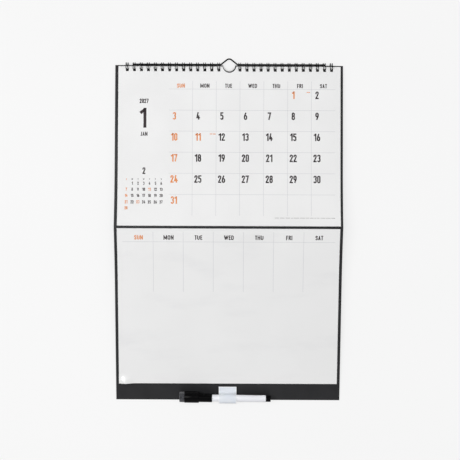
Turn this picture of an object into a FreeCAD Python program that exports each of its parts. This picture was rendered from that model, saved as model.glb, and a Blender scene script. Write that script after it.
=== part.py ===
"""Wall calendar with twin-loop binding, a folded backing board, a dry-erase sheet and a clipped marker.

Millimetres, +Z up, -Y towards the reader, +Y towards the wall. The origin is the underside of the
hanger's hump, where the nail bears. The board hangs from the binding loops, the loops hang on the
hanger's rod, and the marker lies in a clear loop stuck to the foot of the board.
"""
import FreeCAD
import Part
import Sketcher
import math
import os
import re

from FreeCAD import Placement, Rotation, Vector

# Driving sizes: name, millimetres or degrees or a formula of the names above, what it is.
SIZE_TABLE = (
    ("sheet_width", 297.0, "month sheets and dry-erase sheet"),
    ("page_height", 213.9, "month sheets, upright"),
    ("sheet_height", 214.5, "dry-erase sheet, upright"),
    ("board_margin", 4.0, "board past the sheets on each side"),
    ("board_width", "=sheet_width + 2 * board_margin", "backing board"),
    ("board_thick", 0.9, "card of the backing board"),
    ("board_front", 0.6, "front face of the board behind the axis of the loops, at its top edge"),
    ("board_top", 1.2, "top edge of the board above the axis of the loops"),
    ("page_drop", 1.8, "top edge of the month sheets below that of the board"),
    ("fold_gap", 3.5, "bare board between the month sheets and the dry-erase sheet"),
    ("band_height", 23.0, "bare band below the dry-erase sheet"),
    ("curl_length", 80.0, "curved stretch of the board on each side of its crease"),
    ("top_lean", 4.5, "lean of the flat upper part, forwards going down"),
    ("crease_lean", 13.5, "lean of the board at its crease, on both sides"),
    ("foot_lean", 5.0, "lean of the flat lower part, back towards the wall"),
    ("film_thick", 0.35, "dry-erase sheet"),
    ("pad_thick", 1.4, "all month sheets together"),
    ("pad_clearance", 0.3, "air between the month sheets and the board"),
    ("notch_radius", 8.2, "thumb notch in the board, centred on its top edge"),
    ("notch_rim", 0.8, "how much larger the radius of the notch in the month sheets is"),
    ("notch_drop", 1.0, "how much lower the middle of the notch in the month sheets is"),
    ("pitches_across", 31.53, "pitches of the double loops in the width of a sheet"),
    ("ring_pitch", "=sheet_width / pitches_across", "from one double loop to the next"),
    ("rings_per_side", 14, "double loops in each half of the binding"),
    ("rings_skipped", 2, "double loops left out at the hump"),
    ("ring_diameter", 9.8, "outside of the closed loops"),
    ("ring_wire", 0.9, "binding wire"),
    ("ring_twin", 2.5, "between the two strands of a double loop"),
    ("ring_sweep_angle", 342.0, "how far round a strand runs from the spine to its tip"),
    ("hole_width", 3.9, "punched hole, across"),
    ("hole_height", 3.7, "punched hole, upright"),
    ("page_strip", 2.9, "paper left above a hole in the month sheets"),
    ("board_strip", 4.8, "card left above a hole in the board"),
    ("hanger_diameter", 2.0, "hanger wire"),
    ("hanger_length", 257.0, "hanger, end to end"),
    ("hanger_angle", 32.0, "place of the rod in the loops, back from straight up"),
    ("hanger_clearance", 0.1, "between the rod and the loops"),
    ("hump_height", 7.4, "middle of the hump's wire above the rod"),
    ("hump_side_angle", 38.0, "slope of the hump's sides"),
    ("hump_radius", 5.0, "bend at the top of the hump"),
    ("hump_foot_radius", 3.0, "bend at each foot of the hump"),
    ("marker_axis_out", 7.8, "middle of the marker in front of the board"),
    ("marker_axis_up", 4.8, "middle of the marker above the board's lower edge"),
    ("marker_tilt", 0.5, "how far the cap's end of the marker is turned up"),
    ("barrel_diameter", 9.3, "barrel"),
    ("barrel_wall", 1.1, "barrel"),
    ("barrel_left", -21.5, "shoulder of the barrel, where the cap stops"),
    ("barrel_right", 51.5, "right end of the barrel"),
    ("neck_diameter", 8.3, "neck of the barrel under the cap"),
    ("neck_length", 8.0, "the same"),
    ("plug_diameter", 8.6, "tail plug, the part that shows"),
    ("plug_length", 6.6, "the same"),
    ("plug_spigot", 6.0, "length of the tail plug inside the barrel"),
    ("nose_spigot", 7.0, "length of the nose inside the neck"),
    ("nose_collar", 2.0, "full-width collar of the nose against the neck's end"),
    ("nose_length", 8.0, "cone of the nose in front of its collar"),
    ("nose_tip", 4.0, "diameter of the cone at the nib"),
    ("nib_diameter", 2.6, "nib"),
    ("nib_out", 2.6, "nib in front of the nose"),
    ("nib_inside", 2.0, "nib pushed into the ink rod"),
    ("reservoir_diameter", 6.4, "ink rod"),
    ("fit_clearance", 0.05, "radial clearance of pressed marker parts"),
    ("cap_clearance", 0.1, "radial clearance of the cap on the neck"),
    ("cap_wall_bore", 1.0, "air past the nib at the end of the cap's bore"),
    ("cap_narrow_diameter", 11.4, "cap next to the barrel"),
    ("cap_narrow_length", 17.7, "the same"),
    ("cap_wide_diameter", 15.3, "cap next to the eraser"),
    ("cap_wide_length", 19.7, "the same"),
    ("cap_edge", 0.8, "rounding of the cap's outer edges"),
    ("eraser_diameter", 13.9, "felt eraser"),
    ("eraser_out", 6.7, "felt eraser outside the cap"),
    ("eraser_seat", 8.0, "felt eraser inside the cap"),
    ("holder_left", -12.4, "left edge of the holder"),
    ("holder_width", 24.1, "holder along the marker"),
    ("holder_thick", 0.5, "plastic strip of the holder"),
    ("holder_fit", 0.25, "air between the barrel and the holder"),
    ("holder_slack", 1.8, "how much lower the loop hangs than a tight one"),
    ("holder_top", 13.9, "top edge of the holder above the marker's middle"),
    ("holder_joint", 5.7, "where the strip's two layers part, above the marker's middle"),
    ("tape_thick", 0.5, "sticky pad"),
    ("tape_height", 7.8, "sticky pad"),
    ("tape_inset", 0.3, "edge of the sticky pad inside that of the holder"),
)
SIZE_NAMES = {row[0] for row in SIZE_TABLE}


def bound(text):
    """The expression with each size's name pointing at its cell in the sheet."""
    return re.sub(r"[a-z_]+", lambda word: "Sizes." + word[0] if word[0] in SIZE_NAMES else word[0], text)


def sine(name):
    """The sine of an angle given by its name, as an expression."""
    return f"sin({name} * 1 deg)"


def cosine(name):
    """The cosine of an angle given by its name, as an expression."""
    return f"cos({name} * 1 deg)"


# Places worked out from the sizes, as expressions.
# The hanger's rod lies against the inside of the loops, and the origin is under the hump.
ROD_REACH = "(ring_diameter / 2 - ring_wire - hanger_diameter / 2 - hanger_clearance)"
ROD_BACK = f"({ROD_REACH} * {sine('hanger_angle')})"
ROD_UP = f"({ROD_REACH} * {cosine('hanger_angle')})"
ROD_DROP = "(hump_height - hanger_diameter / 2)"

# The board in section. Its front face runs flat, curls to the crease, curls back and runs flat again.
TOP_RUN = "(page_drop + page_height + fold_gap / 2)"
TOP_FLAT = f"({TOP_RUN} - curl_length)"
TOP_CURL = "(curl_length / ((crease_lean - top_lean) * pi / 180))"
TOP_CENTRE = (
    f"(board_front - {TOP_FLAT} * {sine('top_lean')} - {TOP_CURL} * {cosine('top_lean')})",
    f"(board_top - {TOP_FLAT} * {cosine('top_lean')} + {TOP_CURL} * {sine('top_lean')})",
)
CREASE = (
    f"({TOP_CENTRE[0]} + {TOP_CURL} * {cosine('crease_lean')})",
    f"({TOP_CENTRE[1]} - {TOP_CURL} * {sine('crease_lean')})",
)
FOOT_FLAT = "(fold_gap / 2 + sheet_height + band_height - curl_length)"
FOOT_CURL = "(curl_length / ((crease_lean - foot_lean) * pi / 180))"
FOOT_CENTRE = (
    f"({CREASE[0]} - {FOOT_CURL} * {cosine('crease_lean')})",
    f"({CREASE[1]} - {FOOT_CURL} * {sine('crease_lean')})",
)
GAP_TURN_TOP = f"(fold_gap / 2 / {TOP_CURL} * 180 / pi)"
GAP_TURN_FOOT = f"(fold_gap / 2 / {FOOT_CURL} * 180 / pi)"


def upper_flat(along, back):
    """A point of the flat upper part: so far down from the top edge, and so far behind the front face."""
    return (
        f"board_front - ({along}) * {sine('top_lean')} + ({back}) * {cosine('top_lean')}",
        f"board_top - ({along}) * {cosine('top_lean')} - ({back}) * {sine('top_lean')}",
    )


def upper_curl(lean, back):
    """A point of the curved stretch above the crease, where the board has the given lean."""
    return (
        f"{TOP_CENTRE[0]} + ({TOP_CURL} + ({back})) * {cosine(lean)}",
        f"{TOP_CENTRE[1]} - ({TOP_CURL} + ({back})) * {sine(lean)}",
    )


def crease_point(back):
    """A point of the crease, so far behind the front face, on the level of the front face's own edge."""
    reach = f"sqrt(({TOP_CURL} + ({back})) ^ 2 - ({TOP_CURL} * {sine('crease_lean')}) ^ 2)"
    return (f"{TOP_CENTRE[0]} + {reach}", CREASE[1])


def lower_curl(lean, back):
    """A point of the curved stretch below the crease, where the board has the given lean."""
    return (
        f"{FOOT_CENTRE[0]} + ({FOOT_CURL} + ({back})) * {cosine(lean)}",
        f"{FOOT_CENTRE[1]} + ({FOOT_CURL} + ({back})) * {sine(lean)}",
    )


def lower_flat(along, back):
    """A point of the flat lower part, so far down from its start."""
    start = lower_curl("foot_lean", back)
    return (
        f"{start[0]} + ({along}) * {sine('foot_lean')}",
        f"{start[1]} - ({along}) * {cosine('foot_lean')}",
    )


# Frames of the bodies: place along X, Y and Z, lean about X, tilt about the leaned Y.
FOOT_POINT = lower_flat(f"{FOOT_FLAT} - marker_axis_up", "0")
ROD_FRAME = ("0", "0", f"-{ROD_DROP}", "0", "0")
RING_FRAME = ("0", f"-{ROD_BACK}", f"-{ROD_DROP} - {ROD_UP}", "0", "0")
HOLDER_FRAME = (
    "0",
    f"{RING_FRAME[1]} + {FOOT_POINT[0]}",
    f"{RING_FRAME[2]} + {FOOT_POINT[1]}",
    "foot_lean",
    "0",
)
MARKER_FRAME = (
    "0",
    f"{HOLDER_FRAME[1]} - marker_axis_out * {cosine('foot_lean')}",
    f"{HOLDER_FRAME[2]} - marker_axis_out * {sine('foot_lean')}",
    "foot_lean",
    "marker_tilt",
)


def make_sheet(doc):
    """The spreadsheet of driving sizes, one named cell each."""
    sheet = doc.addObject("Spreadsheet::Sheet", "Sizes")
    for row, (name, value, note) in enumerate(SIZE_TABLE, start=1):
        sheet.set(f"A{row}", name)
        sheet.set(f"B{row}", str(value))
        sheet.set(f"C{row}", note)
        sheet.setAlias(f"B{row}", name)
    doc.recompute()
    return sheet


def number(doc, text):
    """What an expression comes to now."""
    value = doc.getObject("Sizes").evalExpression(bound(text))
    return float(getattr(value, "Value", value))


def make_body(doc, label, frame):
    """An empty body in one of the frames: a place, a lean about X and then a tilt about the leaned Y."""
    body = doc.addObject("PartDesign::Body", label)
    body.Label = label
    across, back, up, lean, tilt = frame
    body.setExpression(
        "Placement",
        bound(
            f"placement(vector({across}; {back}; {up}); "
            f"rotation(vector(1; 0; 0); {lean}) * rotation(vector(0; 1; 0); {tilt}))"
        ),
    )
    return body


def plane(body, role):
    """One of the body's own origin planes."""
    return next(item for item in body.Origin.OriginFeatures if item.Role == role)


def attach(body, name, role, away="0", turn=0.0):
    """An empty sketch on one of the body's own planes, so far away along the plane's normal."""
    sketch = body.newObject("Sketcher::SketchObject", name)
    sketch.AttachmentSupport = [(plane(body, role), "")]
    sketch.MapMode = "FlatFace"
    sketch.AttachmentOffset = Placement(Vector(0, 0, 0), Rotation(Vector(1, 0, 0), turn))
    sketch.setExpression("AttachmentOffset.Base.z", bound(away))
    return sketch


def pin_point(sketch, edge, end, corner):
    """Hold one end of an edge at a corner given by two expressions."""
    for kind, text, value in zip(("DistanceX", "DistanceY"), corner[0], corner[1]):
        if abs(value) < 1e-9 and text.strip() == "0":
            axis = -2 if kind == "DistanceX" else -1
            sketch.addConstraint(Sketcher.Constraint("PointOnObject", edge, end, axis))
            continue
        index = sketch.addConstraint(Sketcher.Constraint(kind, -1, 1, edge, end, value))
        sketch.setExpression(f"Constraints[{index}]", bound(text))


def arc_through(start, end, radius, left):
    """The arc of the given radius between two points that bulges to the left or right of the way.

    It always runs counter-clockwise, as a sketch needs, so one that bulges left runs from end to start.
    """
    chord = end - start
    side = Vector(-chord.y, chord.x, 0).normalize() * (1 if left else -1)
    rise = math.sqrt(radius ** 2 - (chord.Length / 2) ** 2)
    centre = (start + end) * 0.5 - side * rise
    spokes = [end - centre, start - centre] if left else [start - centre, end - centre]
    angles = [math.atan2(spoke.y, spoke.x) for spoke in spokes]
    return Part.ArcOfCircle(Part.Circle(centre, Vector(0, 0, 1), radius), *angles)


def draw(doc, sketch, corners, arcs=None, closed=True):
    """An outline through corners given as pairs of expressions.

    arcs maps the number of an edge to (radius expression, bulges left of the way round).
    """
    arcs = arcs or {}
    points = [Vector(number(doc, across), number(doc, up), 0) for across, up in corners]
    first = sketch.GeometryCount
    count = len(points) if closed else len(points) - 1
    ends = []
    for index in range(count):
        start, end = points[index], points[(index + 1) % len(points)]
        if index not in arcs:
            sketch.addGeometry(Part.LineSegment(start, end), False)
            ends.append((1, 2))
            continue
        radius, left = arcs[index]
        sketch.addGeometry(arc_through(start, end, number(doc, radius), left), False)
        ends.append((2, 1) if left else (1, 2))
    for index in range(count if closed else count - 1):
        following = (index + 1) % count
        joined = (first + index, ends[index][1], first + following, ends[following][0])
        sketch.addConstraint(Sketcher.Constraint("Coincident", *joined))
    for index, (text, point) in enumerate(zip(corners, points)):
        edge, end = (index, 0) if index < count else (index - 1, 1)
        pin_point(sketch, first + edge, ends[edge][end], (text, (point.x, point.y)))
    for index, (radius, _) in arcs.items():
        held = sketch.addConstraint(Sketcher.Constraint("Radius", first + index, number(doc, radius)))
        sketch.setExpression(f"Constraints[{held}]", bound(radius))
    return sketch


def ring(doc, sketch, centre, radius):
    """A circle with its centre and radius held by expressions."""
    middle = Vector(number(doc, centre[0]), number(doc, centre[1]), 0)
    index = sketch.addGeometry(Part.Circle(middle, Vector(0, 0, 1), number(doc, radius)), False)
    pin_point(sketch, index, 3, (centre, (middle.x, middle.y)))
    held = sketch.addConstraint(Sketcher.Constraint("Radius", index, number(doc, radius)))
    sketch.setExpression(f"Constraints[{held}]", bound(radius))
    return sketch


def extrude(body, sketch, width, sides="Symmetric"):
    """Extrude a section on the YZ plane to both sides of it, or with "One side" rightwards from it."""
    extrusion = body.newObject("PartDesign::Pad", "extrusion")
    extrusion.Profile = sketch
    extrusion.SideType = sides
    extrusion.setExpression("Length", bound(width))


def cut_through(body, sketch, name):
    """Cut a sketch on the XZ plane through the whole body, both ways."""
    pocket = body.newObject("PartDesign::Pocket", name)
    pocket.Profile = sketch
    pocket.Type = "ThroughAll"
    pocket.SideType = "Symmetric"
    return pocket


def repeat_at_pitch(body, sketch, feature=None):
    """Repeat one feature, or all of the body so far, along X at the pitch of the loops."""
    pattern = body.newObject("PartDesign::LinearPattern", "row")
    if feature is None:
        pattern.TransformMode = "Whole shape"
    else:
        pattern.Originals = [feature]
    pattern.Direction = (sketch, ["H_Axis"])
    pattern.setExpression("Length", bound("(rings_per_side - 1) * ring_pitch"))
    pattern.setExpression("Occurrences", bound("rings_per_side"))
    body.Tip = pattern


FIRST_RIGHT = "((rings_skipped + 1) / 2 * ring_pitch)"
FIRST_LEFT = f"(-{FIRST_RIGHT} - (rings_per_side - 1) * ring_pitch)"


def rectangle(left, right, low, high):
    """The corners of an upright rectangle, the counter-clockwise way round."""
    return [(left, low), (right, low), (right, high), (left, high)]


def punch(doc, body, hole_top, notch_middle, notch_radius):
    """The two rows of punched holes and the half-round thumb notch."""
    holes = attach(body, "hole_corners", "XZ_Plane")
    for middle in (FIRST_LEFT, FIRST_RIGHT):
        sides = (f"{middle} - hole_width / 2", f"{middle} + hole_width / 2")
        draw(doc, holes, rectangle(*sides, f"{hole_top} - hole_height", hole_top))
    repeat_at_pitch(body, holes, cut_through(body, holes, "holes"))
    notch = ring(doc, attach(body, "notch_outline", "XZ_Plane"), ("0", notch_middle), notch_radius)
    cut_through(body, notch, "notch")


def make_board(doc):
    """Black card, folded once, with the holes of the binding and the thumb notch."""
    body = make_body(doc, "backing_board", RING_FRAME)
    section = attach(body, "section", "YZ_Plane")
    corners = [
        upper_flat("0", "0"),
        upper_flat(TOP_FLAT, "0"),
        crease_point("0"),
        lower_flat("0", "0"),
        lower_flat(FOOT_FLAT, "0"),
        lower_flat(FOOT_FLAT, "board_thick"),
        lower_flat("0", "board_thick"),
        crease_point("board_thick"),
        upper_flat(TOP_FLAT, "board_thick"),
        upper_flat("0", "board_thick"),
    ]
    arcs = {
        1: (TOP_CURL, True),
        2: (FOOT_CURL, True),
        6: (f"{FOOT_CURL} + board_thick", False),
        7: (f"{TOP_CURL} + board_thick", False),
    }
    extrude(body, draw(doc, section, corners, arcs), "board_width")
    punch(doc, body, "board_top - board_strip", "board_top", "notch_radius")
    return body


def make_month_pad(doc):
    """All month sheets as one block that follows the upper half of the board."""
    body = make_body(doc, "month_pad", RING_FRAME)
    section = attach(body, "section", "YZ_Plane")
    rear = "-pad_clearance"
    front = "-(pad_clearance + pad_thick)"
    foot = f"(crease_lean - {GAP_TURN_TOP})"
    corners = [
        upper_flat("page_drop", front),
        upper_flat(TOP_FLAT, front),
        upper_curl(foot, front),
        upper_curl(foot, rear),
        upper_flat(TOP_FLAT, rear),
        upper_flat("page_drop", rear),
    ]
    arcs = {1: (f"{TOP_CURL} + {front}", True), 3: (f"{TOP_CURL} + {rear}", False)}
    extrude(body, draw(doc, section, corners, arcs), "sheet_width")
    hole_top = "board_top - page_drop - page_strip"
    punch(doc, body, hole_top, "board_top - notch_drop", "notch_radius + notch_rim")
    return body


def make_whiteboard_sheet(doc):
    """The dry-erase sheet on the lower half of the board."""
    body = make_body(doc, "whiteboard_sheet", RING_FRAME)
    section = attach(body, "section", "YZ_Plane")
    head = f"(crease_lean - {GAP_TURN_FOOT})"
    foot = f"{FOOT_FLAT} - band_height"
    corners = [
        lower_curl(head, "-film_thick"),
        lower_flat("0", "-film_thick"),
        lower_flat(foot, "-film_thick"),
        lower_flat(foot, "0"),
        lower_flat("0", "0"),
        lower_curl(head, "0"),
    ]
    arcs = {0: (f"{FOOT_CURL} - film_thick", True), 4: (FOOT_CURL, False)}
    extrude(body, draw(doc, section, corners, arcs), "sheet_width")
    return body


# Reach of the loops' wire from their axis: its middle, inside and outside.
LOOP_REACH = "(ring_diameter / 2 - ring_wire / 2)"
LOOP_INSIDE = "(ring_diameter / 2 - ring_wire)"
LOOP_OUTSIDE = "(ring_diameter / 2)"


def wire_bars(doc, body, name, spans, turn=0.0):
    """Square runs of wire along X, on the loops' reach, turned so far round from behind the board."""
    sketch = attach(body, name + "_outline", "XY_Plane", turn=turn)
    for left, right in spans:
        draw(doc, sketch, rectangle(left, right, LOOP_INSIDE, LOOP_OUTSIDE))
    bars = body.newObject("PartDesign::Pad", name)
    bars.Profile = sketch
    bars.SideType = "Symmetric"
    bars.setExpression("Length", bound("ring_wire"))
    return bars


def make_binding_wire(doc, label, first):
    """One half of the binding: double loops closed by a tip and joined by the spine behind the board.

    The wire has six sides, as wide across its flats as the round one, so that the loops stay light.
    """
    body = make_body(doc, label, RING_FRAME)
    body.AllowCompound = True
    strands = attach(body, "strand_sections", "XY_Plane")
    side = "ring_wire / sqrt(3)"
    for offset in ("- ring_twin / 2", "+ ring_twin / 2"):
        middle = f"{first} {offset}"
        hexagon = [
            (f"{middle} - {side}", LOOP_REACH),
            (f"{middle} - {side} / 2", LOOP_INSIDE),
            (f"{middle} + {side} / 2", LOOP_INSIDE),
            (f"{middle} + {side}", LOOP_REACH),
            (f"{middle} + {side} / 2", LOOP_OUTSIDE),
            (f"{middle} - {side} / 2", LOOP_OUTSIDE),
        ]
        draw(doc, strands, hexagon)
    loop = body.newObject("PartDesign::Revolution", "double_loop")
    loop.Profile = strands
    loop.ReferenceAxis = (strands, ["H_Axis"])
    loop.setExpression("Angle", bound("ring_sweep_angle"))
    outer, inner = "(ring_twin + ring_wire) / 2", "(ring_twin - ring_wire) / 2"
    tip_span = (f"{first} - {outer}", f"{first} + {outer}")
    wire_bars(doc, body, "tip", [tip_span], number(doc, "ring_sweep_angle"))
    left_run = (f"{first} - ring_pitch / 2", f"{first} - {inner}")
    right_run = (f"{first} + {inner}", f"{first} + ring_pitch / 2")
    wire_bars(doc, body, "spine", [left_run, right_run])
    doc.recompute()
    repeat_at_pitch(body, strands)
    return body


def make_hanger(doc):
    """A straight rod through the loops with a hump in the middle."""
    body = make_body(doc, "hanger", ROD_FRAME)
    path = attach(body, "path", "XZ_Plane")
    sin_slope, cos_slope = sine("hump_side_angle"), cosine("hump_side_angle")
    shoulder = f"(hump_height - hump_radius * (1 - {cos_slope}))"
    top_half = f"(hump_radius * {sin_slope})"
    foot_half = f"({top_half} + {shoulder} * {cos_slope} / {sin_slope})"
    tangent = f"(hump_foot_radius * {sin_slope} / (1 + {cos_slope}))"
    right = [
        (top_half, shoulder),
        (f"({foot_half} - {tangent} * {cos_slope})", f"{tangent} * {sin_slope}"),
        (f"({foot_half} + {tangent})", "0"),
        ("(hanger_length / 2)", "0"),
    ]
    left = [(f"-{across}", up) for across, up in reversed(right)]
    arcs = {1: ("hump_foot_radius", False), 3: ("hump_radius", True), 5: ("hump_foot_radius", False)}
    draw(doc, path, left + right, arcs, closed=False)
    section = attach(body, "section", "YZ_Plane", away="-hanger_length / 2")
    ring(doc, section, ("0", "0"), "hanger_diameter / 2")
    pipe = body.newObject("PartDesign::AdditivePipe", "wire")
    pipe.Profile = section
    pipe.Spine = (path, [f"Edge{edge + 1}" for edge in range(path.GeometryCount)])
    return body


# Parts that are closed inside the section of the holder: outwards is -Y, up is +Z.
HOLDER_INNER = "(barrel_diameter / 2 + holder_fit)"
HOLDER_OUTER = f"({HOLDER_INNER} + holder_thick)"
LAYER_SPLIT = "(tape_thick + holder_thick)"


def tangent_normal(drop, upper):
    """The outward and upward parts of the unit normal where a layer of the strip meets its loop.

    drop is how far the loop's middle lies below the place where the layers part.
    """
    run = f"(marker_axis_out - {LAYER_SPLIT})"
    square = f"({run} ^ 2 + {drop} ^ 2)"
    reach = f"sqrt({square} - {HOLDER_INNER} ^ 2)"
    sign = "+" if upper else "-"
    return (
        f"((-{HOLDER_INNER} * {run} {sign} {reach} * {drop}) / {square})",
        f"(({HOLDER_INNER} * {drop} {sign} {reach} * {run}) / {square})",
    )


def make_pen_holder(doc):
    """A clear strip folded double, with a loose loop round the barrel below the stuck part."""
    body = make_body(doc, "pen_holder", HOLDER_FRAME)
    section = attach(body, "section", "YZ_Plane", away="holder_left")
    top = tangent_normal("holder_joint", True)
    low = tangent_normal("(holder_joint + holder_slack)", False)

    def loop(reach):
        """The loop from its upper tangent point round the front and bottom to its rear tangent point."""
        return [
            (f"-(marker_axis_out + {reach} * {top[0]})", f"{reach} * {top[1]}"),
            (f"-(marker_axis_out + {reach})", "0"),
            (f"-(marker_axis_out + {reach})", "-holder_slack"),
            (f"-(marker_axis_out + {reach} * {low[0]})", f"{reach} * {low[1]} - holder_slack"),
        ]

    faces = {"front": f"({LAYER_SPLIT} + holder_thick)", "rear": "tape_thick"}
    front_run = f"(marker_axis_out - {faces['front']})"
    rear_run = f"(marker_axis_out - {faces['rear']})"
    front_corner = f"(({front_run} * {top[0]} + {HOLDER_OUTER}) / {top[1]})"
    rear_corner = f"(({rear_run} * {low[0]} + {HOLDER_OUTER}) / {low[1]} - holder_slack)"
    outer = [(f"-{faces['front']}", "holder_top"), (f"-{faces['front']}", front_corner)]
    outer += loop(HOLDER_OUTER)
    outer += [(f"-{faces['rear']}", rear_corner), (f"-{faces['rear']}", "holder_top")]
    draw(doc, section, outer, {2: (HOLDER_OUTER, False), 4: (HOLDER_OUTER, False)})
    inner = [(f"-{LAYER_SPLIT}", "holder_joint")] + loop(HOLDER_INNER)
    draw(doc, section, inner, {1: (HOLDER_INNER, False), 3: (HOLDER_INNER, False)})
    extrude(body, section, "holder_width", "One side")
    return body


def make_holder_tape(doc):
    """The sticky pad between the board and the upper part of the holder."""
    body = make_body(doc, "holder_tape", HOLDER_FRAME)
    section = attach(body, "section", "YZ_Plane", away="holder_left + tape_inset")
    high = "(holder_top - tape_inset)"
    draw(doc, section, rectangle("-tape_thick", "0", f"{high} - tape_height", high))
    extrude(body, section, "holder_width - 2 * tape_inset", "One side")
    return body


def turned(doc, label, corners, arcs=None):
    """A marker part turned about the marker's axis from a half section, X along the axis."""
    body = make_body(doc, label, MARKER_FRAME)
    section = draw(doc, attach(body, "half_section", "XZ_Plane"), corners, arcs)
    turn = body.newObject("PartDesign::Revolution", "turned")
    turn.Profile = section
    turn.ReferenceAxis = (section, ["H_Axis"])
    turn.Angle = 360
    return body


# Stations along the marker, from the nib's tip to the tail.
BORE = "(barrel_diameter / 2 - barrel_wall)"
NECK_END = "(barrel_left - neck_length)"
COLLAR_END = f"({NECK_END} - nose_collar)"
CONE_END = f"({COLLAR_END} - nose_length)"
NIB_TIP = f"({CONE_END} - nib_out)"
SPIGOT_END = f"({NECK_END} + nose_spigot)"
PLUG_START = "(barrel_right - plug_spigot)"
CAP_STEP = "(barrel_left - cap_narrow_length)"
CAP_END = f"({CAP_STEP} - cap_wide_length)"
NIB_HOLE = "(nib_diameter / 2 + fit_clearance)"


def make_marker(doc):
    """The marker's own pieces, without its cap."""
    spigot = f"({BORE} - fit_clearance)"
    barrel = turned(
        doc,
        "marker_barrel",
        [
            (NECK_END, BORE),
            ("barrel_right", BORE),
            ("barrel_right", "barrel_diameter / 2"),
            ("barrel_left", "barrel_diameter / 2"),
            ("barrel_left", "neck_diameter / 2"),
            (NECK_END, "neck_diameter / 2"),
        ],
    )
    plug = turned(
        doc,
        "marker_tail_plug",
        [
            (PLUG_START, "0"),
            ("barrel_right + plug_length", "0"),
            ("barrel_right + plug_length", "plug_diameter / 2"),
            ("barrel_right", "plug_diameter / 2"),
            ("barrel_right", spigot),
            (PLUG_START, spigot),
        ],
    )
    nose = turned(
        doc,
        "marker_nose",
        [
            (CONE_END, NIB_HOLE),
            (SPIGOT_END, NIB_HOLE),
            (SPIGOT_END, spigot),
            (NECK_END, spigot),
            (NECK_END, "neck_diameter / 2"),
            (COLLAR_END, "neck_diameter / 2"),
            (CONE_END, "nose_tip / 2"),
        ],
    )
    nib_end = f"{SPIGOT_END} + nib_inside"
    nib = turned(
        doc,
        "marker_nib",
        [
            (NIB_TIP, "0"),
            (nib_end, "0"),
            (nib_end, "nib_diameter / 2"),
            (f"{NIB_TIP} + nib_diameter / 2", "nib_diameter / 2"),
        ],
        {3: ("nib_diameter / 2", False)},
    )
    reservoir = turned(
        doc,
        "marker_reservoir",
        [
            (nib_end, "0"),
            (PLUG_START, "0"),
            (PLUG_START, "reservoir_diameter / 2"),
            (SPIGOT_END, "reservoir_diameter / 2"),
            (SPIGOT_END, NIB_HOLE),
            (nib_end, NIB_HOLE),
        ],
    )
    return [barrel, plug, nose, nib, reservoir]


def make_cap(doc):
    """The cap, open towards the barrel and recessed for the felt, and the felt itself."""
    bore = "(neck_diameter / 2 + cap_clearance)"
    bore_end = f"({NIB_TIP} - cap_wall_bore)"
    seat_end = f"({CAP_END} + eraser_seat)"
    seat = "(eraser_diameter / 2 + fit_clearance)"
    wide, narrow = "(cap_wide_diameter / 2)", "(cap_narrow_diameter / 2)"
    cap = turned(
        doc,
        "marker_cap",
        [
            (bore_end, "0"),
            (bore_end, bore),
            ("barrel_left", bore),
            ("barrel_left", narrow),
            (CAP_STEP, narrow),
            (CAP_STEP, f"{wide} - cap_edge"),
            (f"{CAP_STEP} - cap_edge", wide),
            (CAP_END, wide),
            (CAP_END, seat),
            (seat_end, seat),
            (seat_end, "0"),
        ],
        {5: ("cap_edge", False)},
    )
    eraser = turned(
        doc,
        "marker_eraser",
        [
            (f"{CAP_END} - eraser_out", "0"),
            (seat_end, "0"),
            (seat_end, "eraser_diameter / 2"),
            (f"{CAP_END} - eraser_out", "eraser_diameter / 2"),
        ],
    )
    return [cap, eraser]


def check(doc, bodies):
    """Stop if any object failed to compute or any body isn't one sound solid."""
    for item in doc.Objects:
        broken = {"Invalid", "Error"} & set(item.State)
        if broken:
            raise RuntimeError(f"{item.Label} did not compute: {sorted(broken)}")
    for body in bodies:
        shape = body.Shape
        if shape.isNull() or not shape.isValid() or len(shape.Solids) != 1:
            raise RuntimeError(f"{body.Label} is not one sound solid")


def main():
    """Make every piece, check it and write its STEP file."""
    doc = FreeCAD.newDocument("calendar")
    make_sheet(doc)
    bodies = [
        make_board(doc),
        make_whiteboard_sheet(doc),
        make_month_pad(doc),
        make_binding_wire(doc, "binding_wire_left", FIRST_LEFT),
        make_binding_wire(doc, "binding_wire_right", FIRST_RIGHT),
        make_hanger(doc),
        make_pen_holder(doc),
        make_holder_tape(doc),
    ]
    bodies += make_marker(doc)
    bodies += make_cap(doc)
    doc.recompute()
    check(doc, bodies)
    os.makedirs("parts", exist_ok=True)
    for body in bodies:
        body.Shape.exportStep(f"parts/{body.Label}.step")
        print(f"{body.Label}: {body.Shape.Volume:.1f} mm3")


main()
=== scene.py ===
"""Looks of the wall calendar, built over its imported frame.

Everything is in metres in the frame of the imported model: +X to the reader's right, +Z up and -Y
towards the reader. The card, the sheets, the print, the wires, the marker and its holder are modelled
here over the solids. The sticky pad and the ink rod keep their solids and only get their finish.
"""

import logging
import math
import random
from collections.abc import Callable, Iterable, Iterator, Sequence
from contextlib import contextmanager
from dataclasses import dataclass, field
from enum import Enum

import bmesh
import bpy
import numpy as np
from mathutils import Matrix, Vector

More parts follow.
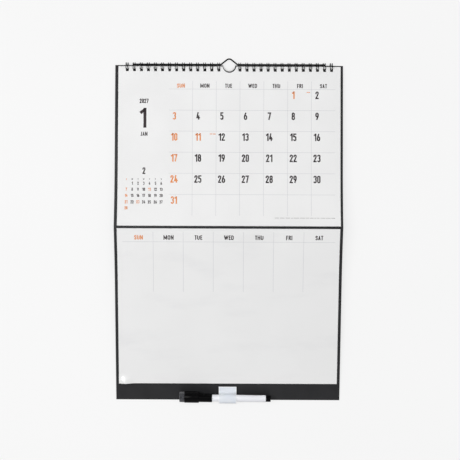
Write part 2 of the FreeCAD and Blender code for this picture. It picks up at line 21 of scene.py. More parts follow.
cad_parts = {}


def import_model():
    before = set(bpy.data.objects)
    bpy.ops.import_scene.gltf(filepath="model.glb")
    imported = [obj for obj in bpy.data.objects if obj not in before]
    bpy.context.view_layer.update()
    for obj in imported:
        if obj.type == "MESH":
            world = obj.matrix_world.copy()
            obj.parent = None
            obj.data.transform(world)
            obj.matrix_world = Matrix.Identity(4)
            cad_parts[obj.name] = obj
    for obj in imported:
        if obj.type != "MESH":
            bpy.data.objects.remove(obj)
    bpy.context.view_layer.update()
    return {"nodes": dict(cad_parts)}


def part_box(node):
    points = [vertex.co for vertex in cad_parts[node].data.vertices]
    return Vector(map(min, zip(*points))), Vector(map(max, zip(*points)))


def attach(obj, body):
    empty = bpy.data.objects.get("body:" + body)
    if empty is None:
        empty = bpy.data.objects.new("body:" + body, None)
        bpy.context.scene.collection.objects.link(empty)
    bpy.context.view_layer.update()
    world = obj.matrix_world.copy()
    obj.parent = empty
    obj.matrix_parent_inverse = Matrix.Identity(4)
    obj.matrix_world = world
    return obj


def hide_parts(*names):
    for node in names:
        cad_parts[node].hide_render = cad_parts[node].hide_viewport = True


LOG = logging.getLogger("calendar")
MM = 0.001
SHEET_WIDTH = 297.0 * MM
CARD_WIDTH = SHEET_WIDTH + 2 * 4.0 * MM
DAYS = ("SUN", "MON", "TUE", "WED", "THU", "FRI", "SAT")


class Body(Enum):
    """The bodies of the frame that the pieces ride on."""

    BOARD = "board"
    PAD = "pad"
    CAP = "cap"
    HANGER = "hanger"


# ---------------------------------------------------------------------------------------------
# Modelling
# ---------------------------------------------------------------------------------------------


def nothing_selected() -> None:
    """Leave edit mode and deselect every object."""
    if bpy.context.object is not None and bpy.context.object.mode != "OBJECT":
        bpy.ops.object.mode_set(mode="OBJECT")
    bpy.ops.object.select_all(action="DESELECT")


def choose(piece: bpy.types.Object) -> None:
    """Make one object the only one selected, and the active one.

    Args:
        piece: The object.
    """
    nothing_selected()
    piece.hide_set(False)
    piece.select_set(True)
    bpy.context.view_layer.objects.active = piece


@contextmanager
def editing(piece: bpy.types.Object) -> Iterator[None]:
    """Edit mode on one object, with none of its mesh selected at the start.

    Args:
        piece: The object, which is back in object mode at the end.

    Yields:
        Nothing.
    """
    choose(piece)
    bpy.ops.object.mode_set(mode="EDIT")
    bpy.ops.mesh.select_mode(type="VERT")
    bpy.ops.mesh.select_all(action="DESELECT")
    try:
        yield
    finally:
        bpy.ops.object.mode_set(mode="OBJECT")


def pick(piece: bpy.types.Object, wanted: Callable[[Vector], bool]) -> int:
    """Select just the vertices whose place is wanted, in edit mode.

    Args:
        piece: The object in edit mode.
        wanted: Says of a vertex's place whether it is taken.

    Returns:
        How many vertices are now selected.
    """
    bpy.ops.mesh.select_all(action="DESELECT")
    mesh = bmesh.from_edit_mesh(piece.data)
    taken = [vertex for vertex in mesh.verts if wanted(vertex.co)]
    for vertex in taken:
        vertex.select_set(True)
    mesh.select_flush_mode()
    bmesh.update_edit_mesh(piece.data)
    return len(taken)


def press(piece: bpy.types.Object, kind: str, **settings: object) -> None:
    """Add a modifier with the given settings and apply it at once.

    Args:
        piece: The object it works on.
        kind: The modifier's type.
        **settings: The modifier's own settings.
    """
    choose(piece)
    modifier = piece.modifiers.new(kind.title(), kind)
    for setting, value in settings.items():
        setattr(modifier, setting, value)
    bpy.ops.object.modifier_apply(modifier=modifier.name)


def settle(piece: bpy.types.Object) -> None:
    """Put an object's place, turn and size into its mesh."""
    choose(piece)
    bpy.ops.object.transform_apply(location=True, rotation=True, scale=True)


def soften(piece: bpy.types.Object, angle: float = 35.0) -> None:
    """Shade smooth, with edges sharper than the angle, in degrees, left crisp."""
    choose(piece)
    bpy.ops.object.shade_smooth_by_angle(angle=math.radians(angle))


def face_outwards(piece: bpy.types.Object, gap: float = 1e-6) -> None:
    """Merge doubled vertices and turn all the faces outwards.

    Args:
        piece: The object, a closed shape.
        gap: How near two vertices are one.
    """
    with editing(piece):
        bpy.ops.mesh.select_all(action="SELECT")
        bpy.ops.mesh.remove_doubles(threshold=gap)
        bpy.ops.mesh.normals_make_consistent(inside=False)


def unite(name: str, parts: Sequence[bpy.types.Object]) -> bpy.types.Object:
    """Join objects into the first of them and give it a name.

    Args:
        name: The name.
        parts: The objects.

    Returns:
        The first object, which now holds them all.
    """
    nothing_selected()
    for part in parts:
        part.select_set(True)
    bpy.context.view_layer.objects.active = parts[0]
    if len(parts) > 1:
        bpy.ops.object.join()
    parts[0].name = name
    parts[0].data.name = name
    return parts[0]


def another(piece: bpy.types.Object, move: Matrix) -> bpy.types.Object:
    """A copy with a mesh of its own.

    Args:
        piece: The object to copy.
        move: Where the copy's mesh is moved to.

    Returns:
        The copy.
    """
    twin = piece.copy()
    twin.data = piece.data.copy()
    twin.data.transform(move)
    bpy.context.scene.collection.objects.link(twin)
    return twin


def block(name: str, low: Vector, high: Vector) -> bpy.types.Object:
    """A box between two corners.

    Args:
        name: Name of the object.
        low: Its lowest corner.
        high: Its highest corner.

    Returns:
        The box.
    """
    nothing_selected()
    bpy.ops.mesh.primitive_cube_add(size=1.0, location=(low + high) / 2)
    piece = bpy.context.object
    piece.name = name
    piece.scale = high - low
    settle(piece)
    return piece


class Pen:
    """Draws a line of vertices, or pulls a section, step by step in edit mode.

    Blender leaves the end of what it has just drawn selected, and the next step goes on from it.
    """

    def __init__(self, name: str, start: Vector, section: float = 0.0, sides: int = 8) -> None:
        """Start with one vertex, or with a round section across X.

        Args:
            name: Name of the object.
            start: Where it starts.
            section: Radius of the section that is pulled along, or 0 for a bare line.
            sides: How many sides the section has.
        """
        nothing_selected()
        self.place = start.copy()
        self.reach = max(section * 1.2, 1e-5)
        if section:
            turn = (0.0, math.pi / 2, 0.0)
            bpy.ops.mesh.primitive_circle_add(
                vertices=sides, radius=section, fill_type="NOTHING", location=start, rotation=turn
            )
        else:
            bpy.ops.mesh.primitive_plane_add(size=1e-4, location=start)
        self.piece = bpy.context.object
        self.piece.name = name
        settle(self.piece)
        bpy.ops.object.mode_set(mode="EDIT")
        bpy.ops.mesh.select_mode(type="VERT")
        bpy.ops.mesh.select_all(action="SELECT")
        if not section:
            bpy.ops.mesh.merge(type="CENTER")

    def line(self, *places: Vector) -> "Pen":
        """Draw straight on to each place in turn.

        Args:
            *places: The places.

        Returns:
            The pen itself.
        """
        for place in places:
            step = place - self.place
            bpy.ops.mesh.extrude_region_move(TRANSFORM_OT_translate={"value": step})
            self.place = place.copy()
        return self

    def sweep(self, centre: Vector, axis: Vector, degrees: float, steps: int) -> "Pen":
        """Draw an arc about an axis through a centre.

        Args:
            centre: A point of the axis.
            axis: Its direction.
            degrees: How far round, by the right hand about the axis.
            steps: How many pieces the arc has.

        Returns:
            The pen itself.
        """
        turn = Matrix.Rotation(math.radians(degrees), 3, axis)
        goal = centre + turn @ (self.place - centre)
        bpy.ops.mesh.spin(steps=steps, angle=-math.radians(degrees), center=centre, axis=axis)
        mesh = bmesh.from_edit_mesh(self.piece.data)
        nearest = min((vertex.co - goal).length for vertex in mesh.verts)
        if nearest > self.reach * 1.5:
            raise RuntimeError(f"{self.piece.name}: the arc ended away from its goal")
        self.place = goal
        return self

    def lift(self) -> bpy.types.Object:
        """Leave edit mode and hand over the object."""
        bpy.ops.object.mode_set(mode="OBJECT")
        return self.piece


def turned(name: str, outline: Sequence[tuple[float, float]], sides: int = 56) -> bpy.types.Object:
    """A turned piece about X, spun from half its outline.

    Args:
        name: Name of the object.
        outline: Pairs of place along X and radius, in order; a radius of 0 closes an end.
        sides: How many sides the turned piece has.

    Returns:
        The object, closed and facing outwards.
    """
    points = [Vector((along, 0.0, radius)) for along, radius in outline]
    piece = Pen(name, points[0]).line(*points[1:]).lift()
    with editing(piece):
        bpy.ops.mesh.select_all(action="SELECT")
        bpy.ops.mesh.spin(steps=sides, angle=2 * math.pi, center=(0, 0, 0), axis=(1, 0, 0))
    face_outwards(piece)
    return piece


# ---------------------------------------------------------------------------------------------
# Finishes
# ---------------------------------------------------------------------------------------------


Colour = tuple[float, float, float, float]


def tint(red: float, green: float, blue: float) -> Colour:
    """A colour as a socket takes it, in linear values.

    Args:
        red: Display value from 0 to 255.
        green: The same.
        blue: The same.

    Returns:
        The colour, with its alpha.
    """
    linear = [
        value / 255 / 12.92 if value <= 10.3 else ((value / 255 + 0.055) / 1.055) ** 2.4
        for value in (red, green, blue)
    ]
    return (*linear, 1.0)


class Tree:
    """Adds nodes to a node tree and joins them."""

    def __init__(self, tree: bpy.types.NodeTree) -> None:
        """Work on an empty tree."""
        self.tree = tree
        self.tree.nodes.clear()

    def node(self, kind: str, settings: dict | None = None, **inputs: object) -> bpy.types.Node:
        """Add a node.

        Args:
            kind: The node's type, without its prefix.
            settings: Its own settings.
            **inputs: Values or sockets for its inputs, with spaces of their names as underscores.

        Returns:
            The node.
        """
        node = self.tree.nodes.new(kind if kind.startswith("Node") else "ShaderNode" + kind)
        for setting, value in (settings or {}).items():
            setattr(node, setting, value)
        for name, value in inputs.items():
            socket = node.inputs[int(name[1:])] if name[1:].isdigit() else node.inputs[name.replace("_", " ")]
            if isinstance(value, bpy.types.NodeSocket):
                self.tree.links.new(value, socket)
            else:
                socket.default_value = value
        return node

    def maths(self, operation: str, *values: object) -> bpy.types.NodeSocket:
        """The result of a Math node with the given operation and inputs."""
        inputs = {f"i{index}": value for index, value in enumerate(values)}
        return self.node("Math", {"operation": operation}, **inputs).outputs[0]

    def band(self, value: object, low: float, high: float) -> bpy.types.NodeSocket:
        """0 where a value is under low, 1 where it is over high, and smooth between."""
        settings = {"interpolation_type": "SMOOTHSTEP"}
        return self.node("MapRange", settings, i0=value, i1=low, i2=high).outputs[0]

    def blend(self, share: object, first: object, second: object) -> bpy.types.NodeSocket:
        """A colour between two, by a share."""
        return self.node("Mix", {"data_type": "RGBA"}, i0=share, i6=first, i7=second).outputs[2]


def new_group(
    name: str, inputs: Sequence[tuple[str, str, object]], outputs: Sequence[tuple[str, str]]
) -> tuple[bpy.types.NodeTree, Tree, bpy.types.Node, bpy.types.Node]:
    """An empty shader node group with named sockets.

    Args:
        name: The group's name.
        inputs: Name, kind and first value of each input.
        outputs: Name and kind of each output.

    Returns:
        The group, a Tree on it, and its input and output nodes.
    """
    group = bpy.data.node_groups.new(name, "ShaderNodeTree")
    for label, kind, value in inputs:
        socket = group.interface.new_socket(label, in_out="INPUT", socket_type=f"NodeSocket{kind}")
        if value is not None:
            socket.default_value = value
    for label, kind in outputs:
        group.interface.new_socket(label, in_out="OUTPUT", socket_type=f"NodeSocket{kind}")
    tree = Tree(group)
    return group, tree, tree.node("NodeGroupInput"), tree.node("NodeGroupOutput")


class Effects:
    """The node groups that several materials share."""

    def __init__(self) -> None:
        """Build each group once."""
        self.grain = self.make_grain()
        self.mottle = self.make_mottle()
        self.rubbed_edges = self.make_rubbed_edges()

    @staticmethod
    def make_grain() -> bpy.types.NodeTree:
        """Fine grain: a height and a mask of specks, at a size given in millimetres.

        Returns:
            The group.
        """
        group, tree, given, result = new_group(
            "fine_grain",
            [("Place", "Vector", None), ("Grain mm", "Float", 0.3), ("Stretch", "Float", 1.0)],
            [("Height", "Float"), ("Specks", "Float")],
        )
        per_grain = tree.maths("DIVIDE", 1000.0, given.outputs["Grain mm"])
        across = tree.maths("DIVIDE", per_grain, given.outputs["Stretch"])
        scale = tree.node("CombineXYZ", None, X=across, Y=per_grain, Z=per_grain).outputs[0]
        place = tree.node("VectorMath", {"operation": "MULTIPLY"}, i0=given.outputs["Place"], i1=scale)
        fine = tree.node("TexNoise", None, Vector=place.outputs[0], Scale=1.0, Detail=3.0, Roughness=0.6)
        tree.tree.links.new(fine.outputs[0], result.inputs["Height"])
        specks = tree.band(fine.outputs[0], 0.58, 0.72)
        tree.tree.links.new(specks, result.inputs["Specks"])
        return group

    @staticmethod
    def make_mottle() -> bpy.types.NodeTree:
        """Broad, faint clouds between two colours, at a size given in millimetres.

        Returns:
            The group.
        """
        group, tree, given, result = new_group(
            "soft_mottle",
            [
                ("Place", "Vector", None),
                ("Cloud mm", "Float", 30.0),
                ("First", "Color", (0.5, 0.5, 0.5, 1)),
                ("Second", "Color", (0.6, 0.6, 0.6, 1)),
            ],
            [("Color", "Color"), ("Cloud", "Float")],
        )
        per_cloud = tree.maths("DIVIDE", 1000.0, given.outputs["Cloud mm"])
        place = tree.node(
            "VectorMath", {"operation": "SCALE"}, i0=given.outputs["Place"], Scale=per_cloud
        )
        clouds = tree.node("TexNoise", None, Vector=place.outputs[0], Scale=1.0, Detail=2.0)
        share = tree.band(clouds.outputs[0], 0.3, 0.7)
        colour = tree.blend(share, given.outputs["First"], given.outputs["Second"])
        tree.tree.links.new(colour, result.inputs["Color"])
        tree.tree.links.new(share, result.inputs["Cloud"])
        return group

    @staticmethod
    def make_rubbed_edges() -> bpy.types.NodeTree:
        """A mask near two upright edges at plus and minus a distance along X, broken up by noise.

        Returns:
            The group.
        """
        group, tree, given, result = new_group(
            "rubbed_edges",
            [("Place", "Vector", None), ("Edge", "Float", 0.15), ("Rub", "Float", 0.001)],
            [("Mask", "Float")],
        )
        place = given.outputs["Place"]
        across = tree.node("SeparateXYZ", None, Vector=place).outputs[0]
        inside = tree.maths("SUBTRACT", given.outputs["Edge"], tree.maths("ABSOLUTE", across))
        noise = tree.node("TexNoise", None, Vector=place, Scale=220.0, Detail=4.0).outputs[0]
        depth = tree.maths("MULTIPLY", given.outputs["Rub"], tree.maths("MULTIPLY", noise, 2.0))
        near = tree.maths("SUBTRACT", 1.0, tree.maths("DIVIDE", inside, depth))
        mask = tree.node("Clamp", None, Value=near).outputs[0]
        tree.tree.links.new(mask, result.inputs["Mask"])
        return group


@dataclass(frozen=True)
class Ground:
    """The nodes that every finish starts from, for what a finish adds to them.

    They are the material's nodes, the shared groups, the object coordinates, the shader, the group
    node that gives the colour, and the one that gives the grain.
    """

    tree: Tree
    effects: Effects
    place: bpy.types.NodeSocket
    shader: bpy.types.Node
    clouds: bpy.types.Node
    grain: bpy.types.Node

    def colour_with(self, share: bpy.types.NodeSocket, other: Colour) -> None:
        """Blend a second colour over the clouds, by a share, as the base colour."""
        colour = self.tree.blend(share, self.clouds.outputs["Color"], other)
        self.tree.tree.links.new(colour, self.shader.inputs["Base Color"])

    def feed(self, name: str, socket: bpy.types.NodeSocket) -> None:
        """Join a socket to one of the shader's."""
        self.tree.tree.links.new(socket, self.shader.inputs[name])

    def put(self, **values: float) -> None:
        """Give sockets of the shader plain values, with underscores for the spaces of their names."""
        for name, value in values.items():
            self.shader.inputs[name.replace("_", " ")].default_value = value


@dataclass(frozen=True)
class Finish:
    """What every finish has: its name, its two close colours and how rough it is."""

    name: str
    colour: Colour
    second: Colour
    roughness: float
    grain_mm: float = 0.3
    cloud_mm: float = 40.0
    bump_mm: float = 0.01
    bump_share: float = 0.3
    rough_spread: float = 0.06

    def make(self, effects: Effects) -> bpy.types.Material:
        """Build the material: clouds of colour, a fine grain in roughness and in the surface.

        Args:
            effects: The shared node groups.

        Returns:
            The material.
        """
        material = bpy.data.materials.new(self.name)
        material.use_nodes = True
        tree = Tree(material.node_tree)
        place = tree.node("TexCoord").outputs["Object"]
        clouds = tree.node("Group", {"node_tree": effects.mottle}, Place=place)
        clouds.inputs["Cloud mm"].default_value = self.cloud_mm
        clouds.inputs["First"].default_value = self.colour
        clouds.inputs["Second"].default_value = self.second
        grain = tree.node("Group", {"node_tree": effects.grain}, Place=place)
        grain.inputs["Grain mm"].default_value = self.grain_mm
        low, high = self.roughness - self.rough_spread, self.roughness + self.rough_spread
        rough = tree.node("MapRange", None, i0=grain.outputs["Height"], i3=max(low, 0.02), i4=high)
        bump = tree.node("Bump", None, Strength=self.bump_share, Distance=self.bump_mm * MM)
        tree.tree.links.new(grain.outputs["Height"], bump.inputs["Height"])
        shader = tree.node(
            "BsdfPrincipled",
            None,
            Base_Color=clouds.outputs["Color"],
            Roughness=rough.outputs[0],
            Normal=bump.outputs[0],
        )
        output = tree.node("OutputMaterial", None, Surface=shader.outputs[0])
        output.is_active_output = True
        self.add_detail(Ground(tree, effects, place, shader, clouds, grain))
        return material

    def add_detail(self, ground: Ground) -> None:
        """Add what is a finish's own to the common ground; nothing, unless it says so."""


@dataclass(frozen=True)
class Paper(Finish):
    """Uncoated paper: a few fibres and specks under the print."""

    speck: Colour = tint(214, 212, 208)
    speck_share: float = 0.25
    shine: float = 0.25

    def add_detail(self, ground: Ground) -> None:
        """Add the fibres, and a sheen as weak as that of paper.

        Args:
            ground: The common nodes.
        """
        share = ground.tree.maths("MULTIPLY", ground.grain.outputs["Specks"], self.speck_share)
        ground.colour_with(share, self.speck)
        ground.put(Specular_IOR_Level=self.shine)


@dataclass(frozen=True)
class BlackCard(Finish):
    """Black card with a smooth face and edges rubbed a little paler."""

    edge: float = CARD_WIDTH / 2
    rub: float = 0.6 * MM
    rub_share: float = 0.25
    rubbed: Colour = tint(70, 67, 68)
    shine: float = 0.2

    def add_detail(self, ground: Ground) -> None:
        """Add the rubbed edges.

        Args:
            ground: The common nodes.
        """
        rub = ground.tree.node("Group", {"node_tree": ground.effects.rubbed_edges}, Place=ground.place)
        rub.inputs["Edge"].default_value = self.edge
        rub.inputs["Rub"].default_value = self.rub
        ground.colour_with(ground.tree.maths("MULTIPLY", rub.outputs["Mask"], self.rub_share), self.rubbed)
        ground.put(Specular_IOR_Level=self.shine)


@dataclass(frozen=True)
class DryErase(Finish):
    """Glossy film with a faint haze where ink was wiped off, and slow waves."""

    haze: Colour = tint(222, 222, 224)
    haze_share: float = 0.3
    haze_rough: float = 0.12
    wipe_turn: float = math.radians(28)
    wipe_scale: tuple[float, float, float] = (9, 9, 30)
    wave_scale: float = 14.0
    wave_height: float = 1.2 * MM

    def add_detail(self, ground: Ground) -> None:
        """Add the wiped haze to colour and gloss, and the film's slow waves.

        Args:
            ground: The common nodes.
        """
        tree = ground.tree
        turn = (0, self.wipe_turn, 0)
        wiped = tree.node("Mapping", None, Vector=ground.place, Rotation=turn, Scale=self.wipe_scale)
        smears = tree.node("TexNoise", None, Vector=wiped.outputs[0], Scale=1.0, Detail=5.0).outputs[0]
        mask = tree.band(smears, 0.5, 0.75)
        ground.colour_with(tree.maths("MULTIPLY", mask, self.haze_share), self.haze)
        dull = self.roughness + self.haze_rough
        ground.feed("Roughness", tree.node("MapRange", None, i0=mask, i3=self.roughness, i4=dull).outputs[0])
        waves = tree.node("TexNoise", None, Vector=ground.place, Scale=self.wave_scale, Detail=1.0).outputs[0]
        bump = tree.node("Bump", None, Strength=0.25, Distance=self.wave_height, Height=waves)
        ground.feed("Normal", bump.outputs[0])
        ground.put(Coat_Weight=0.2, Coat_Roughness=0.08)


@dataclass(frozen=True)
class Plastic(Finish):
    """Moulded or enamelled plastic with a thin gloss over it and a few dull specks of dust."""

    coat: float = 0.0
    shine: float = 0.5
    dust: Colour = tint(120, 120, 122)
    dust_share: float = 0.1

    def add_detail(self, ground: Ground) -> None:
        """Add the dust and the gloss.

        Args:
            ground: The common nodes.
        """
        share = ground.tree.maths("MULTIPLY", ground.grain.outputs["Specks"], self.dust_share)
        ground.colour_with(share, self.dust)
        ground.put(Coat_Weight=self.coat, Coat_Roughness=0.06, Specular_IOR_Level=self.shine)


@dataclass(frozen=True)
class ClearStrip(Finish):
    """Clear flexible plastic, faintly blue, with cut edges that catch the light, painted near white as a
    painted highlight.
    """

    low: Vector = field(default_factory=Vector)
    high: Vector = field(default_factory=Vector)
    rim: float = 1.3 * MM
    rim_colour: Colour = tint(252, 253, 255)
    face_alpha: float = 0.86

    def add_detail(self, ground: Ground) -> None:
        """Let the light through, less so at the cut edges.

        Args:
            ground: The common nodes.
        """
        tree = ground.tree
        across = tree.node("SeparateXYZ", None, Vector=ground.place)
        left = tree.maths("SUBTRACT", across.outputs[0], self.low.x)
        right = tree.maths("SUBTRACT", self.high.x, across.outputs[0])
        top = tree.maths("SUBTRACT", self.high.z, across.outputs[2])
        nearest = tree.maths("MINIMUM", tree.maths("MINIMUM", left, right), top)
        inner = tree.band(nearest, 0.25 * self.rim, self.rim)
        # The cut edges get a painted highlight: near white and fully opaque.
        ground.feed("Base Color", tree.blend(inner, self.rim_colour, ground.clouds.outputs["Color"]))
        ground.feed("Alpha", tree.node("MapRange", None, i0=inner, i3=1.0, i4=self.face_alpha).outputs[0])
        ground.put(IOR=1.45, Coat_Weight=0.3, Coat_Roughness=0.1)


@dataclass(frozen=True)
class Felt(Finish):
    """Pressed grey felt: loose fibres, and ink picked up in patches."""

    inked: Colour = tint(36, 37, 41)
    ink_share: float = 0.75
    patch_scale: float = 260.0
    fibre_mm: float = 0.22
    fibre_stretch: float = 5.0
    pile: float = 0.4 * MM

    def add_detail(self, ground: Ground) -> None:
        """Add the fibres, the picked-up ink and the soft edge of light.

        Args:
            ground: The common nodes.
        """
        tree = ground.tree
        fibres = tree.node("Group", {"node_tree": ground.effects.grain}, Place=ground.place)
        fibres.inputs["Grain mm"].default_value = self.fibre_mm
        fibres.inputs["Stretch"].default_value = self.fibre_stretch
        patches = tree.node("TexNoise", None, Vector=ground.place, Scale=self.patch_scale, Detail=3.0)
        worn = tree.maths("MULTIPLY", tree.band(patches.outputs[0], 0.45, 0.65), self.ink_share)
        ground.colour_with(worn, self.inked)
        height = tree.maths("ADD", fibres.outputs["Height"], ground.grain.outputs["Height"])
        bump = tree.node("Bump", None, Strength=0.9, Distance=self.pile, Height=height)
        ground.feed("Normal", bump.outputs[0])
        ground.put(Sheen_Weight=0.4)


class Material(Enum):
    """The finishes of the calendar's pieces, by the record's slot or the print's colour."""

    CARD = BlackCard("black_card", tint(39, 39, 41), tint(44, 44, 46), 0.5, 0.35, 25, 0.008, 0.3)
    PAPER = Paper("month_paper", tint(239, 239, 239), tint(242, 242, 242), 0.75, 0.5, 60, 0.012, 0.35)
    FILM = DryErase("dry_erase_film", tint(240, 240, 240), tint(242, 242, 242), 0.16, 0.4, 90)
    WIRE = Plastic("binding_wire", tint(8, 8, 9), tint(12, 12, 13), 0.42, 0.25, 8, shine=0.12)
    ROD = Plastic("hanger_wire", tint(5, 5, 6), tint(8, 8, 9), 0.45, 0.25, 12, shine=0.1, dust_share=0.05)
    TAPE = Paper("white_tape", tint(238, 240, 245), tint(230, 233, 240), 0.8, 0.35, 4, 0.05, 0.6)
    BARREL = Plastic(
        "white_barrel", tint(247, 248, 253), tint(243, 244, 249), 0.3, 0.6, 20, 0.004, 0.15,
        coat=0.2, dust=tint(212, 212, 215), dust_share=0.15,
    )
    BLACK = Plastic(
        "black_plastic", tint(6, 6, 7), tint(9, 9, 10), 0.2, 0.5, 10, 0.004, 0.15,
        dust=tint(40, 40, 44), dust_share=0.1, shine=0.05,
    )
    NOSE = Plastic("nose_plastic", tint(22, 22, 23), tint(28, 28, 30), 0.42, 0.3, 5)
    NIB = Paper(
        "nib_fibre", tint(24, 24, 28), tint(36, 36, 42), 0.85, 0.12, 1.5, 0.03, 0.8, speck=tint(70, 70, 80)
    )
    RESERVOIR = Paper("reservoir_fibre", tint(225, 225, 218), tint(90, 90, 100), 0.85, 0.2, 9, 0.04, 0.7)
    FELT = Felt("grey_felt", tint(74, 75, 81), tint(58, 59, 64), 0.92, 0.3, 3, 0.1, 0.8)
    BLACK_INK = Paper(
        "dark_ink", tint(50, 42, 45), tint(56, 48, 50), 0.55, 0.3, 12, 0.004, 0.2,
        speck=tint(84, 76, 78), speck_share=0.3,
    )
    ORANGE_INK = Paper(
        "orange_ink", tint(227, 139, 76), tint(229, 146, 86), 0.55, 0.3, 12, 0.004, 0.2,
        speck=tint(232, 172, 126), speck_share=0.3,
    )
    MIDDLE_INK = Paper(
        "grey_ink", tint(150, 147, 148), tint(158, 155, 156), 0.55, 0.3, 12, 0.004, 0.2,
        speck=tint(186, 184, 184), speck_share=0.3,
    )
    GREY_INK = Paper(
        "pale_grey_ink", tint(200, 200, 204), tint(205, 205, 209), 0.55, 0.3, 12, 0.004, 0.2,
        speck=tint(218, 218, 220), speck_share=0.3,
    )


class Finisher:
    """Makes each finish once and hands it to the pieces."""

    def __init__(self) -> None:
        """Build the shared effects."""
        self.effects = Effects()
        self.made: dict[str, bpy.types.Material] = {}

    def get(self, finish: Finish) -> bpy.types.Material:
        """The material of a finish, made at the first call.

        Args:
            finish: The finish.

        Returns:
            The material.
        """
        if finish.name not in self.made:
            self.made[finish.name] = finish.make(self.effects)
        return self.made[finish.name]

    def dress(self, piece: bpy.types.Object, finish: Finish) -> None:
        """Give a piece one finish all over."""
        piece.data.materials.clear()
        piece.data.materials.append(self.get(finish))


# ---------------------------------------------------------------------------------------------
# The shape that the board, the sheets and the print follow
# ---------------------------------------------------------------------------------------------

Lift = Callable[[np.ndarray, np.ndarray], np.ndarray]


@dataclass
class Fold:
    """The front of the folded board in section, from its top edge down to its foot.

    Both halves are curled towards the crease, so the crease is a ridge. A flat piece is modelled
    upright, with its top at Z 0 and its back at +Y, and is then laid on the front.
    """

    top_z: float
    front_y: float = -0.93677 * MM
    page_drop: float = 1.8 * MM
    page_height: float = 213.9 * MM
    sheet_height: float = 214.5 * MM
    gap: float = 3.5 * MM
    band: float = 23.0 * MM
    curl: float = 80.0 * MM
    top_lean: float = math.radians(4.5)
    crease_lean: float = math.radians(13.5)
    foot_lean: float = math.radians(5.0)
    row: float = 8.0 * MM

    def __post_init__(self) -> None:
        """Work out the runs from edge to edge."""
        self.crease = self.page_drop + self.page_height + self.gap / 2
        self.film_top = self.crease + self.gap / 2
        self.foot = self.film_top + self.sheet_height + self.band

    def face(self, down: np.ndarray) -> tuple[np.ndarray, np.ndarray, np.ndarray, np.ndarray]:
        """The front face so far down from its top edge, measured along it.

        Args:
            down: Distances from the top edge.

        Returns:
            Y and Z of the face, and Y and Z of its outward normal.
        """
        top, ridge, low = self.top_lean, self.crease_lean, self.foot_lean
        flat = self.crease - self.curl
        first, second = self.curl / (ridge - top), self.curl / (ridge - low)
        start = np.array([self.front_y, self.top_z]) - flat * np.array([math.sin(top), math.cos(top)])
        middle = start + first * np.array([-math.cos(top), math.sin(top)])
        crease = middle + first * np.array([math.cos(ridge), -math.sin(ridge)])
        below = crease - second * np.array([math.cos(ridge), math.sin(ridge)])
        end = below + second * np.array([math.cos(low), math.sin(low)])
        upper = np.clip(top + (down - flat) / first, top, ridge)
        lower = np.clip(ridge - (down - self.crease) / second, low, ridge)
        straight = np.minimum(down, flat)
        over = np.maximum(down - self.crease - self.curl, 0.0)
        on_top = down <= self.crease
        curled = down > flat
        top_y = np.where(curled, middle[0] + first * np.cos(upper), self.front_y - straight * math.sin(top))
        top_z = np.where(curled, middle[1] - first * np.sin(upper), self.top_z - straight * math.cos(top))
        past = over > 0
        low_y = np.where(past, end[0] + over * math.sin(low), below[0] + second * np.cos(lower))
        low_z = np.where(past, end[1] - over * math.cos(low), below[1] + second * np.sin(lower))
        on_ridge = np.abs(down - self.crease) < 1e-7
        normal_y = np.where(on_top, -np.cos(upper), -np.cos(lower))
        normal_z = np.where(on_top, np.sin(upper), -np.sin(lower))
        return (
            np.where(on_top, top_y, low_y),
            np.where(on_top, top_z, low_z),
            np.where(on_ridge, -1.0 / math.cos(ridge), normal_y),
            np.where(on_ridge, 0.0, normal_z),
        )

    def point(self, down: float, out: float) -> Vector:
        """The point so far down the face and so far in front of it, in the middle of the board."""
        y, z, normal_y, normal_z = (float(value) for value in self.face(np.array(down)))
        return Vector((0.0, y + out * normal_y, z + out * normal_z))

    def rows(self, start: float, end: float) -> list[float]:
        """Where a sheet has to be divided to follow the face.

        Args:
            start: How far down the face its top is.
            end: How far down its foot is.

        Returns:
            The places, as distances down the face.
        """
        count = round(self.curl / self.row)
        steps = [self.crease + self.row * step for step in range(-count, count + 1)]
        return [step for step in steps if start + MM / 2 < step < end - MM / 2]

    def lay(
        self,
        piece: bpy.types.Object,
        start: float,
        base: float = 0.0,
        lift: Lift | None = None,
        aside: float = 0.0,
    ) -> None:
        """Lay a flat, upright piece on the front of the board.

        Args:
            piece: The piece, with its top at Z 0.
            start: How far down the face its top goes.
            base: How far in front of the face its Y 0 goes.
            lift: Says how far more a place of the flat piece is lifted off, from its X and its
                distance down.
            aside: How far to the right of the board's middle it hangs.
        """
        mesh = piece.data
        flat = np.empty(len(mesh.vertices) * 3, np.float32)
        mesh.vertices.foreach_get("co", flat)
        across, back, up = flat.reshape(-1, 3).T.astype(float)
        out = base - back
        if lift is not None:
            out = out + lift(across, -up)
        y, z, normal_y, normal_z = self.face(start - up)
        placed = np.column_stack([across + aside, y + out * normal_y, z + out * normal_z])
        mesh.vertices.foreach_set("co", placed.astype(np.float32).ravel())
        mesh.update()


def divide(piece: bpy.types.Object, rows: Iterable[float]) -> None:
    """Cut through a flat, upright piece.

    Args:
        piece: The piece, with its top at Z 0.
        rows: How far down from its top each cut is.
    """
    with editing(piece):
        for row in rows:
            bpy.ops.mesh.select_all(action="SELECT")
            bpy.ops.mesh.bisect(plane_co=(0, 0, -row), plane_no=(0, 0, 1), threshold=1e-7)


